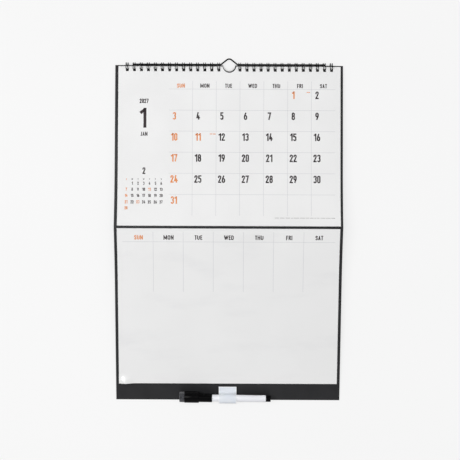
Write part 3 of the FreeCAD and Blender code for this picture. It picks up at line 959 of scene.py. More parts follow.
@dataclass
class Punching:
    """The holes of the binding and the thumb notch, for the board and for the leaves."""

    pitch: float = SHEET_WIDTH / 31.53
    per_side: int = 14
    skipped: int = 2
    hole_width: float = 3.9 * MM
    hole_height: float = 3.7 * MM
    deep: float = 20.0 * MM

    def places(self) -> list[float]:
        """The middle of each double loop along X.

        Returns:
            The places, from left to right.
        """
        first = (self.skipped + 1) / 2 * self.pitch
        right = [first + self.pitch * step for step in range(self.per_side)]
        return [-place for place in reversed(right)] + right

    def punch(self, piece: bpy.types.Object, strip: float, notch: float, notch_up: float) -> None:
        """Cut the holes and the notch through a flat, upright sheet.

        Args:
            piece: The sheet, with its top at Z 0.
            strip: What is left between its top edge and the holes.
            notch: Radius of the notch.
            notch_up: How far above the top edge the notch has its middle.
        """
        half = self.hole_width / 2
        low, high = Vector((-half, -self.deep, -strip - self.hole_height)), Vector((half, self.deep, -strip))
        first = block("punch", low, high)
        cutters = [another(first, Matrix.Translation((place, 0, 0))) for place in self.places()]
        bpy.data.objects.remove(first)
        nothing_selected()
        bpy.ops.mesh.primitive_cylinder_add(
            vertices=72,
            radius=notch,
            depth=2 * self.deep,
            location=(0, 0, notch_up),
            rotation=(math.pi / 2, 0, 0),
        )
        cutters.append(bpy.context.object)
        settle(cutters[-1])
        cutter = unite("punch", cutters)
        press(piece, "BOOLEAN", operation="DIFFERENCE", solver="EXACT", object=cutter)
        bpy.data.objects.remove(cutter)


def ready(piece: bpy.types.Object, name: str, body: Body, slot: str, *nodes: str) -> None:
    """Name a finished piece, let it ride on its body and hide the solids it replaces.

    Args:
        piece: The finished piece.
        name: Its name.
        body: The body it moves with.
        slot: The record's slot of its finish; not used.
        *nodes: The solids it replaces.
    """
    piece.name = name
    piece.data.name = name
    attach(piece, body.value)
    if nodes:
        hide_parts(*nodes)
    LOG.info("%s rides on %s: %d faces", name, body.value, len(piece.data.polygons))


@dataclass
class Backing:
    """The folded black card behind everything."""

    fold: Fold
    punching: Punching
    width: float = CARD_WIDTH
    thick: float = 0.9 * MM
    strip: float = 4.8 * MM
    notch: float = 8.2 * MM
    rounding: float = 0.16 * MM

    def build(self, finisher: Finisher) -> None:
        """Make the card with its crease, holes, notch and softly cut edges.

        Args:
            finisher: Dresses what is built.
        """
        high = Vector((self.width / 2, self.thick, 0.0))
        card = block("card", Vector((-self.width / 2, 0.0, -self.fold.foot)), high)
        divide(card, self.fold.rows(0.0, self.fold.foot))
        self.punching.punch(card, self.strip, self.notch, 0.0)
        press(card, "BEVEL", width=self.rounding, segments=2, limit_method="ANGLE")
        self.fold.lay(card, 0.0)
        soften(card, 25)
        finisher.dress(card, Material.CARD.value)
        ready(card, "folded_card", Body.BOARD, "black_card", "backing_board")


@dataclass
class DryEraseSheet:
    """The glossy sheet on the lower half, blistered where the glue has let go near one corner."""

    fold: Fold
    width: float = SHEET_WIDTH
    thick: float = 0.35 * MM
    air_behind: float = 0.014 * MM
    rounding: float = 0.08 * MM
    cells_across: int = 108
    cells_down: int = 78
    blister_lift: float = 3.6 * MM
    blister_reach: float = 5.5 * MM
    blister_in: float = 9.0 * MM
    blister_up: float = 1.0 * MM

    def lift(self, across: np.ndarray, down: np.ndarray) -> np.ndarray:
        """How far the sheet stands off the board.

        Args:
            across: Places along X.
            down: How far down the sheet they are.

        Returns:
            The distance at each place.
        """
        aside = across + self.width / 2 - self.blister_in
        above = self.fold.sheet_height - down - self.blister_up
        return self.blister_lift * np.exp(-(aside**2 + above**2) / (2 * self.blister_reach**2))

    def build(self, finisher: Finisher) -> None:
        """Make the sheet from a grid, laid on the board and given its thickness.

        Args:
            finisher: Dresses what is built.
        """
        nothing_selected()
        height = self.fold.sheet_height
        bpy.ops.mesh.primitive_grid_add(
            x_subdivisions=self.cells_across,
            y_subdivisions=self.cells_down,
            size=1.0,
            location=(0, 0, -height / 2),
            rotation=(math.pi / 2, 0, 0),
        )
        sheet = bpy.context.object
        sheet.scale = (self.width, height, 1.0)
        settle(sheet)
        self.fold.lay(sheet, self.fold.film_top, self.thick, self.lift)
        press(sheet, "SOLIDIFY", thickness=self.thick - self.air_behind, offset=-1.0)
        press(sheet, "BEVEL", width=self.rounding, segments=1, limit_method="ANGLE")
        soften(sheet, 40)
        finisher.dress(sheet, Material.FILM.value)
        ready(sheet, "dry_erase_sheet", Body.BOARD, "dry_erase_film", "whiteboard_sheet")


@dataclass
class MonthPad:
    """The month leaves, one behind the other, hung in the loops."""

    fold: Fold
    punching: Punching
    width: float = SHEET_WIDTH
    clearance: float = 0.3 * MM
    thick: float = 1.4 * MM
    leaves: int = 13
    leaf: float = 0.09 * MM
    strip: float = 2.9 * MM
    notch: float = 9.1 * MM
    notch_drop: float = 1.0 * MM
    slip: float = 0.1 * MM
    aside: float = 0.45 * MM

    @property
    def front(self) -> float:
        """How far the printed face is in front of the board."""
        return self.clearance + self.thick

    def build(self, finisher: Finisher) -> None:
        """Make one leaf, copy it with a little slip each time, and join the pad.

        Args:
            finisher: Dresses what is built.
        """
        low = Vector((-self.width / 2, 0.0, -self.fold.page_height))
        leaf = block("leaf", low, Vector((self.width / 2, self.leaf, 0.0)))
        end = self.fold.page_drop + self.fold.page_height
        divide(leaf, [row - self.fold.page_drop for row in self.fold.rows(self.fold.page_drop, end)])
        self.punching.punch(leaf, self.strip, self.notch, self.fold.page_drop - self.notch_drop)
        chance = random.Random(27)
        step = (self.thick - self.leaf) / (self.leaves - 1)
        pad = [leaf]
        for place in range(1, self.leaves):
            slip = (chance.uniform(-1, 1) * self.slip, place * step, chance.uniform(-1, 0.3) * self.slip)
            pad.append(another(leaf, Matrix.Translation(slip)))
        pad = unite("leaves", pad)
        self.fold.lay(pad, self.fold.page_drop, self.front, aside=self.aside)
        soften(pad, 25)
        finisher.dress(pad, Material.PAPER.value)
        ready(pad, "month_leaves", Body.PAD, "month_paper", "month_pad")


# ---------------------------------------------------------------------------------------------
# Print
# ---------------------------------------------------------------------------------------------


@dataclass(frozen=True)
class Arc:
    """An arc of a stroke: its middle, and how far it turns in degrees, left-hand way positive."""

    across: float
    up: float
    turn: float


Step = tuple[float, float] | Arc
Stroke = tuple[Step, ...]


def bowl(left: float, right: float, low: float, high: float) -> Stroke:
    """A closed bowl with straight sides between two half circles.

    Args:
        left: Middle line of its left side.
        right: Middle line of its right side.
        low: Where the sides begin.
        high: Where they end.

    Returns:
        The stroke.
    """
    middle = (left + right) / 2
    return (
        (left, low), (left, high), Arc(middle, high, -180), (right, low), Arc(middle, low, -180),
    )


STEM: Stroke = ((0.0, 0.0), (0.0, 0.835))
# Each character: the width of its middle lines, and its strokes, for a height of 1 with the stroke.
CHARACTERS: dict[str, tuple[float, tuple[Stroke, ...]]] = {
    "0": (0.27, (bowl(0.0, 0.27, 0.135, 0.70),)),
    "1": (0.17, (((0.0, 0.70), (0.14, 0.80)), ((0.17, 0.835), (0.17, 0.0)))),
    "2": (
        0.27,
        (
            ((0.0, 0.66), (0.0, 0.70), Arc(0.135, 0.70, -180), (0.255, 0.58), (0.02, 0.03)),
            ((0.0, 0.0), (0.27, 0.0)),
        ),
    ),
    "3": (
        0.27,
        (
            ((0.0, 0.68), (0.0, 0.70), Arc(0.135, 0.70, -180), (0.27, 0.585), Arc(0.135, 0.585, -90)),
            ((0.12, 0.45), (0.135, 0.45), Arc(0.135, 0.315, -90), (0.27, 0.135), Arc(0.135, 0.135, -180)),
        ),
    ),
    "4": (0.30, (((0.13, 0.835), (0.0, 0.20), (0.30, 0.20)), ((0.215, 0.40), (0.215, 0.0)))),
    "5": (
        0.27,
        (
            ((0.25, 0.835), (0.02, 0.835), (0.01, 0.51)),
            ((0.03, 0.50), (0.135, 0.50), Arc(0.135, 0.365, -90), (0.27, 0.135), Arc(0.135, 0.135, -180)),
        ),
    ),
    "6": (0.27, (bowl(0.0, 0.27, 0.135, 0.33), ((0.0, 0.32), (0.02, 0.46), (0.155, 0.80)))),
    "7": (0.27, (((0.0, 0.835), (0.27, 0.835)), ((0.258, 0.79), (0.09, 0.02)))),
    "8": (0.27, (bowl(0.015, 0.255, 0.56, 0.715), bowl(0.0, 0.27, 0.135, 0.305))),
    "9": (0.27, (bowl(0.0, 0.27, 0.505, 0.70), ((0.27, 0.515), (0.25, 0.375), (0.115, 0.035)))),
    "A": (0.34, (((0.01, 0.02), (0.17, 0.80)), ((0.33, 0.02), (0.17, 0.80)), ((0.1, 0.25), (0.24, 0.25)))),
    "D": (
        0.38,
        (
            STEM,
            (
                (0.0, 0.835), (0.17, 0.835), Arc(0.17, 0.625, -90),
                (0.38, 0.21), Arc(0.17, 0.21, -90), (0.0, 0.0),
            ),
        ),
    ),
    "E": (
        0.25,
        (STEM, ((0.0, 0.835), (0.23, 0.835)), ((0.0, 0.43), (0.19, 0.43)), ((0.0, 0.0), (0.23, 0.0))),
    ),
    "F": (0.25, (STEM, ((0.0, 0.835), (0.23, 0.835)), ((0.0, 0.42), (0.18, 0.42)))),
    "H": (0.41, (STEM, ((0.41, 0.0), (0.41, 0.835)), ((0.0, 0.43), (0.41, 0.43)))),
    "I": (0.0, (STEM,)),
    "J": (0.22, (((0.22, 0.835), (0.22, 0.11), Arc(0.11, 0.11, -180)),)),
    "M": (
        0.62,
        (STEM, ((0.62, 0.0), (0.62, 0.835)), ((0.04, 0.76), (0.31, 0.12)), ((0.58, 0.76), (0.31, 0.12))),
    ),
    "N": (0.42, (STEM, ((0.42, 0.0), (0.42, 0.835)), ((0.04, 0.76), (0.38, 0.07)))),
    "O": (0.40, (bowl(0.0, 0.40, 0.20, 0.635),)),
    "R": (
        0.33,
        (
            STEM,
            ((0.0, 0.835), (0.16, 0.835), Arc(0.16, 0.655, -180), (0.0, 0.475)),
            ((0.18, 0.42), (0.32, 0.03)),
        ),
    ),
    "S": (
        0.32,
        (
            (
                (0.32, 0.66), (0.32, 0.675), Arc(0.16, 0.675, 180), (0.0, 0.60),
                (0.32, 0.24), (0.32, 0.16), Arc(0.16, 0.16, -180), (0.0, 0.18),
            ),
        ),
    ),
    "T": (0.25, (((0.0, 0.835), (0.25, 0.835)), ((0.125, 0.78), (0.125, 0.0)))),
    "U": (0.39, (((0.0, 0.835), (0.0, 0.195), Arc(0.195, 0.195, 180), (0.39, 0.835)),)),
    "W": (
        0.74,
        (
            ((0.0, 0.835), (0.175, 0.05)),
            ((0.195, 0.05), (0.37, 0.78)),
            ((0.37, 0.78), (0.545, 0.05)),
            ((0.565, 0.05), (0.74, 0.835)),
        ),
    ),
}


class Weight(Enum):
    """The weights of the type, by the width of the stroke for a height of 1."""

    LIGHT = 0.148
    REGULAR = 0.172
    BOLD = 0.2


class Ink(Enum):
    """The inks of the print, by their finish."""

    DARK = Material.BLACK_INK
    ORANGE = Material.ORANGE_INK
    GREY = Material.GREY_INK
    MIDDLE = Material.MIDDLE_INK


Inks = dict[Ink, list[bpy.types.Object]]


class Typeface:
    """Narrow capitals and figures with one width of stroke, each modelled once and then copied."""

    def __init__(self, weight: Weight, proud: float = 0.035 * MM, sunk: float = 0.02 * MM) -> None:
        """Make an empty case.

        Args:
            weight: The weight of the type.
            proud: How far the ink stands in front of the sheet.
            sunk: How far it goes into the sheet.
        """
        self.stroke = weight.value
        self.proud = proud
        self.deep = proud + sunk
        self.cast: dict[str, bpy.types.Object] = {}

    def place(self, step: tuple[float, float]) -> Vector:
        """A place of a character in front of the sheet."""
        return Vector((step[0], -self.proud, step[1]))

    def squared(self, steps: list[Step]) -> list[Step]:
        """Square off the straight ends of an open stroke.

        Args:
            steps: Its steps, which are changed.

        Returns:
            The same steps, with each straight end half a stroke longer.
        """
        if len(steps) > 1 and not isinstance(steps[1], Arc):
            start, following = Vector(steps[0]), Vector(steps[1])
            steps[0] = tuple(start - (following - start).normalized() * self.stroke / 2)
        if not isinstance(steps[-1], Arc) and not isinstance(steps[-2], Arc):
            before, end = Vector(steps[-2]), Vector(steps[-1])
            steps[-1] = tuple(end + (end - before).normalized() * self.stroke / 2)
        return steps

    def draw(self, stroke: Stroke) -> bpy.types.Object:
        """Draw one stroke's middle line.

        Args:
            stroke: Its steps.

        Returns:
            The line as an object.
        """
        # A stroke with a bowl's pattern of steps keeps its ends, and they are merged if they meet.
        like_bowl = len(stroke) == 5 and isinstance(stroke[-1], Arc) and isinstance(stroke[2], Arc)
        steps = list(stroke) if like_bowl else self.squared(list(stroke))
        pen = Pen("stroke", self.place(steps[0]))
        axis = Vector((0, -1, 0))
        for step in steps[1:]:
            if isinstance(step, Arc):
                pieces = max(3, round(abs(step.turn) / 20))
                pen.sweep(self.place((step.across, step.up)), axis, step.turn, pieces)
            else:
                pen.line(self.place(step))
        line = pen.lift()
        if like_bowl:
            with editing(line):
                bpy.ops.mesh.select_all(action="SELECT")
                bpy.ops.mesh.remove_doubles(threshold=1e-4)
        return line

    def character(self, name: str) -> bpy.types.Object:
        """The character at a height of 1, with its ink as thick as it is at any height.

        Args:
            name: The character.

        Returns:
            Its object, which is only copied from.
        """
        if name not in self.cast:
            lines = [self.draw(stroke) for stroke in CHARACTERS[name][1]]
            shape = unite("character", lines)
            with editing(shape):
                bpy.ops.mesh.select_all(action="SELECT")
                deeper = {"value": (0.0, self.deep, 0.0)}
                bpy.ops.mesh.extrude_region_move(TRANSFORM_OT_translate=deeper)
            press(shape, "SOLIDIFY", thickness=self.stroke, offset=0.0, use_even_offset=True)
            with editing(shape):
                bpy.ops.mesh.select_all(action="SELECT")
                bpy.ops.mesh.normals_make_consistent(inside=False)
            self.cast[name] = shape
        return self.cast[name]

    def width(self, text: str, height: float, gap: float) -> float:
        """How wide the ink of a text is."""
        inner = sum(CHARACTERS[name][0] for name in text) + self.stroke * len(text)
        return (inner + gap * (len(text) - 1)) * height

    def set(self, text: str, middle: float, top: float, height: float, gap: float) -> list[bpy.types.Object]:
        """Set a text on a flat, upright sheet.

        Args:
            text: The characters.
            middle: Where the middle of the ink is along X.
            top: How far down the sheet the top of the ink is.
            height: Height of the ink.
            gap: Air between characters for a height of 1.

        Returns:
            The copies.
        """
        at = middle - self.width(text, height, gap) / 2 + self.stroke / 2 * height
        base = -top - height * (1.0 - self.stroke / 2)
        copies = []
        for name in text:
            move = Matrix.Translation((at, 0.0, base)) @ Matrix.Diagonal((height, 1.0, height, 1.0))
            copies.append(another(self.character(name), move))
            at += (CHARACTERS[name][0] + self.stroke + gap) * height
        return copies

    def clear(self) -> None:
        """Throw away what the copies were made from."""
        for shape in self.cast.values():
            bpy.data.objects.remove(shape)
        self.cast.clear()


def rule(
    left: float, right: float, top: float, foot: float, proud: float = 0.025, sunk: float = 0.02
) -> bpy.types.Object:
    """A printed line on a flat, upright sheet, between four edges in millimetres."""
    low = Vector((left, -proud, -foot)) * MM
    return block("rule", low, Vector((right, sunk, -top)) * MM)


@dataclass(frozen=True)
class Setting:
    """How a kind of text is set: its weight, its height in millimetres and the air in it.

    The air is that between characters, for a height of 1.
    """

    weight: Weight
    height: float
    gap: float


@dataclass(frozen=True)
class Words:
    """A text that stands by itself, with the places of its middle and its top in millimetres."""

    text: str
    middle: float
    top: float
    setting: Setting

    def put(self, faces: dict[Weight, Typeface]) -> list[bpy.types.Object]:
        """Set the text on a flat, upright sheet.

        Args:
            faces: The type.

        Returns:
            Its characters.
        """
        face = faces[self.setting.weight]
        height = self.setting.height * MM
        return face.set(self.text, self.middle * MM, self.top * MM, height, self.setting.gap)


@dataclass
class PagePrint:
    """The print of a January page: the days, the month and the small February beside them.

    Its places are in millimetres, from the middle of the page and down from its top.
    """

    fold: Fold
    pad: MonthPad
    faces: dict[Weight, Typeface]
    drop: float = 1.2 * MM
    day_middles: tuple[float, ...] = (-64.8, -32.8, -1.1, 31.0, 62.8, 94.3, 125.7)
    day_top: float = 23.8
    day_type: Setting = Setting(Weight.BOLD, 5.4, 0.11)
    columns: tuple[float, ...] = (-80.9, -49.1, -17.5, 14.15, 46.05, 78.0, 109.7)
    lines: tuple[float, ...] = (31.0, 59.3, 87.4, 115.6, 143.8, 172.3)
    figure_in: float = 7.5
    figure_down: float = 2.7
    figure_type: Setting = Setting(Weight.REGULAR, 10.1, 0.06)
    holidays: frozenset[int] = frozenset({1, 3, 10, 11, 17, 24, 31})
    titles: tuple[Words, ...] = (
        Words("2027", -113.9, 44.3, Setting(Weight.BOLD, 5.8, 0.06)),
        Words("1", -115.0, 56.0, Setting(Weight.LIGHT, 27.0, 0.0)),
        Words("JAN", -113.9, 88.7, Setting(Weight.BOLD, 5.2, 0.12)),
    )
    small_title: Words = Words("2", -113.6, 136.1, Setting(Weight.REGULAR, 9.0, 0.0))
    small_columns: tuple[float, ...] = (-136.9, -129.0, -121.3, -113.7, -106.0, -98.1, -90.4)
    small_day_top: float = 150.8
    small_day_type: Setting = Setting(Weight.REGULAR, 2.2, 0.1)
    small_rows: tuple[float, ...] = (157.5, 165.6, 174.0, 182.6, 190.7)
    small_type: Setting = Setting(Weight.BOLD, 4.1, 0.06)
    small_up: float = 2.0
    small_holidays: frozenset[int] = frozenset({7, 11, 14, 21, 23, 28})
    hair: float = 0.18
    level_proud: float = 0.024
    grid_top: float = 20.1
    grid_foot: float = 201.0
    grid_left: float = -80.7
    grid_right: float = 141.6
    notes: tuple[tuple[float, float, float], ...] = (
        (103.2, 107.9, 34.9), (-26.1, -22.6, 91.2), (-21.8, -18.1, 91.2),
    )
    note_half: float = 0.45
    foot_left: float = 60.9
    foot_right: float = 141.2
    foot_top: float = 203.4
    foot_end: float = 204.0
    shortest: float = 1.2

    def month(self, inks: Inks) -> None:
        """Set the names of the days and the large figures.

        Args:
            inks: The pieces of each ink so far, to which this adds.
        """
        for day, middle in zip(DAYS, self.day_middles):
            ink = Ink.ORANGE if day == "SUN" else Ink.DARK
            inks[ink] += Words(day, middle, self.day_top, self.day_type).put(self.faces)
        for number in range(1, 32):
            column, row = (number + 4) % 7, (number + 4) // 7
            ink = Ink.ORANGE if number in self.holidays else Ink.DARK
            middle, top = self.columns[column] + self.figure_in, self.lines[row] + self.figure_down
            inks[ink] += Words(str(number), middle, top, self.figure_type).put(self.faces)

    def title(self, inks: Inks) -> None:
        """Set the year, the month's number and its name at the left."""
        for words in self.titles:
            inks[Ink.DARK] += words.put(self.faces)

    def small_month(self, inks: Inks) -> None:
        """Set the small month.

        Args:
            inks: The pieces of each ink so far, to which this adds.
        """
        inks[Ink.DARK] += self.small_title.put(self.faces)
        for day, column in zip(DAYS, self.small_columns):
            ink = Ink.ORANGE if day == "SUN" else Ink.DARK
            inks[ink] += Words(day[0], column, self.small_day_top, self.small_day_type).put(self.faces)
        for number in range(1, 29):
            ink = Ink.ORANGE if number in self.small_holidays else Ink.DARK
            middle, top = self.small_columns[number % 7], self.small_rows[number // 7] - self.small_up
            inks[ink] += Words(str(number), middle, top, self.small_type).put(self.faces)

    def grid(self, inks: Inks) -> None:
        """Draw the thin lines between the days.

        Args:
            inks: The pieces of each ink so far, to which this adds.
        """
        grey = inks[Ink.GREY]
        for column in self.columns[1:]:
            grey.append(rule(column - self.hair, column + self.hair, self.grid_top, self.grid_foot))
        for line in self.lines:
            top, foot = line - self.hair, line + self.hair
            grey.append(rule(self.grid_left, self.grid_right, top, foot, self.level_proud))

    def dashes(self, inks: Inks) -> None:
        """Draw dashes where small notes stand: by two of the days, and in a row at the foot.

        Args:
            inks: The pieces of each ink so far, to which this adds.
        """
        for left, right, down in self.notes:
            inks[Ink.ORANGE].append(rule(left, right, down - self.note_half, down + self.note_half))
        chance = random.Random(5)
        at = self.foot_left
        while at < self.foot_right - self.shortest:
            end = min(at + chance.uniform(2.2, 7.5), self.foot_right)
            inks[Ink.MIDDLE].append(rule(at, end, self.foot_top, self.foot_end))
            at = end + chance.uniform(0.7, 1.3)

    def build(self, finisher: Finisher) -> None:
        """Print each ink as one piece on the first leaf.

        Args:
            finisher: Dresses what is built.
        """
        inks: Inks = {ink: [] for ink in Ink}
        self.month(inks)
        self.title(inks)
        self.small_month(inks)
        self.grid(inks)
        self.dashes(inks)
        rows = [row - self.drop for row in self.fold.rows(self.drop, self.fold.crease)]
        for ink, parts in inks.items():
            name = f"page_ink_{ink.name.lower()}"
            print_piece = unite(name, parts)
            divide(print_piece, rows)
            self.fold.lay(print_piece, self.drop, self.pad.front, aside=self.pad.aside)
            finisher.dress(print_piece, ink.value.value)
            ready(print_piece, name, Body.PAD, "month_paper")


@dataclass
class SheetPrint:
    """The print of the dry-erase sheet: the names of the days and the columns under them.

    Its places are in millimetres, from the middle of the sheet and down from its top.
    """

    fold: Fold
    front: float
    faces: dict[Weight, Typeface]
    middles: tuple[float, ...] = (-119.8, -79.8, -39.9, 0.6, 41.0, 80.9, 120.9)
    day_top: float = 9.5
    day_type: Setting = Setting(Weight.BOLD, 6.0, 0.1)
    columns: tuple[float, ...] = (-100.45, -60.3, -20.2, 20.2, 60.3, 100.45)
    hair: float = 0.2
    level_proud: float = 0.024
    grid_top: float = 4.5
    grid_foot: float = 87.1
    level: float = 18.45
    level_left: float = -141.3
    level_right: float = 142.5

    def build(self, finisher: Finisher) -> None:
        """Print the names and the lines as one piece for each ink.

        Args:
            finisher: Dresses what is built.
        """
        inks: Inks = {Ink.ORANGE: [], Ink.DARK: [], Ink.GREY: []}
        for day, middle in zip(DAYS, self.middles):
            ink = Ink.ORANGE if day == "SUN" else Ink.DARK
            inks[ink] += Words(day, middle, self.day_top, self.day_type).put(self.faces)
        for column in self.columns:
            inks[Ink.GREY].append(rule(column - self.hair, column + self.hair, self.grid_top, self.grid_foot))
        top, foot = self.level - self.hair, self.level + self.hair
        inks[Ink.GREY].append(rule(self.level_left, self.level_right, top, foot, self.level_proud))
        rows = [row - self.fold.film_top for row in self.fold.rows(self.fold.film_top, self.fold.foot)]
        for ink, parts in inks.items():
            print_piece = unite("sheet_ink", parts)
            divide(print_piece, rows)
            self.fold.lay(print_piece, self.fold.film_top, self.front)
            finisher.dress(print_piece, ink.value.value)
            ready(print_piece, f"sheet_{ink.value.name.lower()}", Body.BOARD, "dry_erase_film")


# ---------------------------------------------------------------------------------------------
# Wires
# ---------------------------------------------------------------------------------------------


@dataclass
class Binding:
    """The twin-loop wire in two halves, each one wire that runs on from loop to loop."""

    punching: Punching
    middle: Vector = field(default_factory=lambda: Vector((0.0, -1.53677, -8.85934)) * MM)
    reach: float = 4.45 * MM
    wire: float = 0.45 * MM
    twin: float = 2.5 * MM
    corner: float = 0.75 * MM
    sweep: float = 338.0

    def double_loop(self) -> bpy.types.Object:
        """One double loop at X 0, with half of the spine on both sides of it.

        The wire comes along the spine behind the board, goes over the top and round the front to
        its tip, turns back and returns the same way beside itself.

        Returns:
            The loop.
        """
        half = self.twin / 2
        pen = Pen("loop", self.middle + Vector((-self.punching.pitch / 2, self.reach, 0)), self.wire)
        left = self.middle + Vector((-half - self.corner, self.reach, 0))
        pen.line(left)
        pen.sweep(left + Vector((0, 0, self.corner)), Vector((0, -1, 0)), 90, 3)
        start = math.degrees(math.asin(self.corner / self.reach))
        centre = self.middle + Vector((-half, 0, 0))
        turn = self.sweep - start
        pen.sweep(centre, Vector((1, 0, 0)), turn, 30)
        tip = self.middle.copy()
        tip.y, tip.z = pen.place.y, pen.place.z
        outwards = (tip - self.middle).normalized()
        pen.sweep(tip, outwards, -180, 6)
        pen.sweep(centre + Vector((self.twin, 0, 0)), Vector((1, 0, 0)), -turn, 30)
        right = self.middle + Vector((half + self.corner, self.reach, self.corner))
        pen.sweep(right, Vector((0, -1, 0)), 90, 3)
        pen.line(self.middle + Vector((self.punching.pitch / 2, self.reach, 0)))
        return pen.lift()

    def build(self, finisher: Finisher) -> None:
        """Copy the double loop along each half and close the wire's ends.

        Args:
            finisher: Dresses what is built.
        """
        loop = self.double_loop()
        places = self.punching.places()
        halves = {"left": places[: self.punching.per_side], "right": places[self.punching.per_side :]}
        for side, row in halves.items():
            wire = unite("wire", [another(loop, Matrix.Translation((place, 0, 0))) for place in row])
            with editing(wire):
                bpy.ops.mesh.select_all(action="SELECT")
                bpy.ops.mesh.remove_doubles(threshold=2e-5)
                bpy.ops.mesh.select_all(action="DESELECT")
                bpy.ops.mesh.select_non_manifold(extend=False)
                bpy.ops.mesh.edge_face_add()
                bpy.ops.mesh.select_all(action="SELECT")
                bpy.ops.mesh.normals_make_consistent(inside=False)
            soften(wire, 60)
            finisher.dress(wire, Material.WIRE.value)
            ready(wire, f"twin_loops_{side}", Body.BOARD, "binding_wire", f"binding_wire_{side}")
        bpy.data.objects.remove(loop)


@dataclass
class Hanger:
    """The hanger: a straight rod in the loops with a hump for the nail."""

    rod_z: float = -6.4 * MM
    wire: float = 1.0 * MM
    length: float = 257.0 * MM
    hump: float = 7.37 * MM
    slope: float = 38.0
    top_bend: float = 5.0 * MM
    foot_bend: float = 3.0 * MM
    rounding: float = 0.35 * MM

    def at(self, across: float, up: float) -> Vector:
        """A place so far across and above the rod."""
        return Vector((across, 0.0, self.rod_z + up))

    def build(self, finisher: Finisher) -> None:
        """Pull the wire along the rod, over the hump and on, and round its ends.

        Args:
            finisher: Dresses what is built.
        """
        slope = math.radians(self.slope)
        shoulder = self.hump - self.top_bend * (1 - math.cos(slope))
        top_half = self.top_bend * math.sin(slope)
        foot_half = top_half + shoulder / math.tan(slope)
        run = self.foot_bend * math.tan(slope / 2)
        axis = Vector((0, 1, 0))
        pen = Pen("hanger", self.at(-self.length / 2, 0), self.wire, 16)
        pen.line(self.at(-foot_half - run, 0))
        pen.sweep(self.at(-foot_half - run, self.foot_bend), axis, -self.slope, 6)
        pen.line(self.at(-top_half, shoulder))
        pen.sweep(self.at(0, self.hump - self.top_bend), axis, 2 * self.slope, 12)
        pen.line(self.at(foot_half - run * math.cos(slope), run * math.sin(slope)))
        pen.sweep(self.at(foot_half + run, self.foot_bend), axis, -self.slope, 6)
        pen.line(self.at(self.length / 2, 0))
        wire = pen.lift()
        with editing(wire):
            bpy.ops.mesh.select_non_manifold(extend=False)
            bpy.ops.mesh.edge_face_add()
            bpy.ops.mesh.select_all(action="SELECT")
            bpy.ops.mesh.normals_make_consistent(inside=False)
        limit = math.radians(60)
        press(wire, "BEVEL", width=self.rounding, segments=3, limit_method="ANGLE", angle_limit=limit)
        soften(wire, 50)
        finisher.dress(wire, Material.ROD.value)
        ready(wire, "hanger_rod", Body.HANGER, "hanger_wire", "hanger")


# ---------------------------------------------------------------------------------------------
# Marker and its holder
# ---------------------------------------------------------------------------------------------


@dataclass
class FootPlace:
    """Where the holder and the marker sit at the foot of the board."""

    fold: Fold
    axis_up: float = 4.8 * MM
    axis_out: float = 7.8 * MM
    tilt: float = 0.5

    def holder(self) -> Matrix:
        """The holder's place on the board: Y 0 on the card, Z up along it."""
        lean = Matrix.Rotation(self.fold.foot_lean, 4, "X")
        return Matrix.Translation(self.fold.point(self.fold.foot - self.axis_up, 0.0)) @ lean

    def marker(self) -> Matrix:
        """The marker's place: X along its axis, from the cap to the tail."""
        out = Matrix.Translation((0.0, -self.axis_out, 0.0))
        return self.holder() @ out @ Matrix.Rotation(math.radians(self.tilt), 4, "Y")


Outline = tuple[tuple[float, float], ...]


def rounded_edge(along: float, radius: float, edge: float, towards: int) -> Outline:
    """Places of a quarter-round edge of a turned piece, from its end face out to its side.

    Args:
        along: Where the end face is.
        radius: The piece's radius.
        edge: Radius of the edge.
        towards: 1 if the piece goes on to greater places along X, -1 if to smaller ones.

    Returns:
        The places, in millimetres.
    """
    angles = [math.radians(90 * step / 4) for step in range(5)]
    return tuple(
        (along + towards * edge * (1 - math.sin(angle)), radius - edge * (1 - math.cos(angle)))
        for angle in reversed(angles)
    )


@dataclass(frozen=True)
class TurnedPart:
    """A turned piece in millimetres: its outline, its finish and the rounding of its edges."""

    outline: Outline
    finish: Material
    rounding: float

    def build(self, name: str) -> bpy.types.Object:
        """Turn the piece about X and round its edges.

        Args:
            name: Name of the object.

        Returns:
            The piece.
        """
        piece = turned(name, [(along * MM, radius * MM) for along, radius in self.outline])
        press(piece, "BEVEL", width=self.rounding * MM, segments=3, limit_method="ANGLE")
        return piece


@dataclass
class Marker:
    """The marker without its cap, as turned pieces about its axis."""

    place: Matrix
    barrel: TurnedPart = TurnedPart(
        (
            (-29.5, 3.55), (51.5, 3.55), (51.5, 4.65), (-21.5, 4.65),
            (-21.5, 4.15), (-29.5, 4.15), (-29.5, 3.55),
        ),
        Material.BARREL,
        0.25,
    )
    tail_plug: TurnedPart = TurnedPart(
        (
            (45.5, 0.0), (45.5, 3.5), (51.5, 3.5), (51.5, 4.3),
            (58.1, 4.3), (58.1, 3.2), (57.6, 3.0), (57.6, 0.0),
        ),
        Material.BLACK,
        0.45,
    )
    nose: TurnedPart = TurnedPart(
        (
            (-39.5, 1.35), (-22.5, 1.35), (-22.5, 3.5), (-29.5, 3.5), (-29.5, 4.15),
            (-31.5, 4.15), (-32.2, 3.7), (-39.5, 2.0), (-39.5, 1.35),
        ),
        Material.NOSE,
        0.15,
    )
    nib: TurnedPart = TurnedPart(
        ((-42.1, 0.0), (-41.95, 0.62), (-41.5, 1.06), (-40.8, 1.3), (-20.5, 1.3), (-20.5, 0.0)),
        Material.NIB,
        0.1,
    )

    def build(self, finisher: Finisher) -> None:
        """Build the pieces, put them in place and dress them; the ink rod keeps its solid.

        Args:
            finisher: Dresses what is built.
        """
        parts = {"barrel": self.barrel, "tail_plug": self.tail_plug, "nose": self.nose, "nib": self.nib}
        for name, part in parts.items():
            piece = part.build(name)
            piece.data.transform(self.place)
            soften(piece, 40)
            finisher.dress(piece, part.finish.value)
            ready(piece, f"pen_{name}", Body.BOARD, part.finish.value.name, f"marker_{name}")


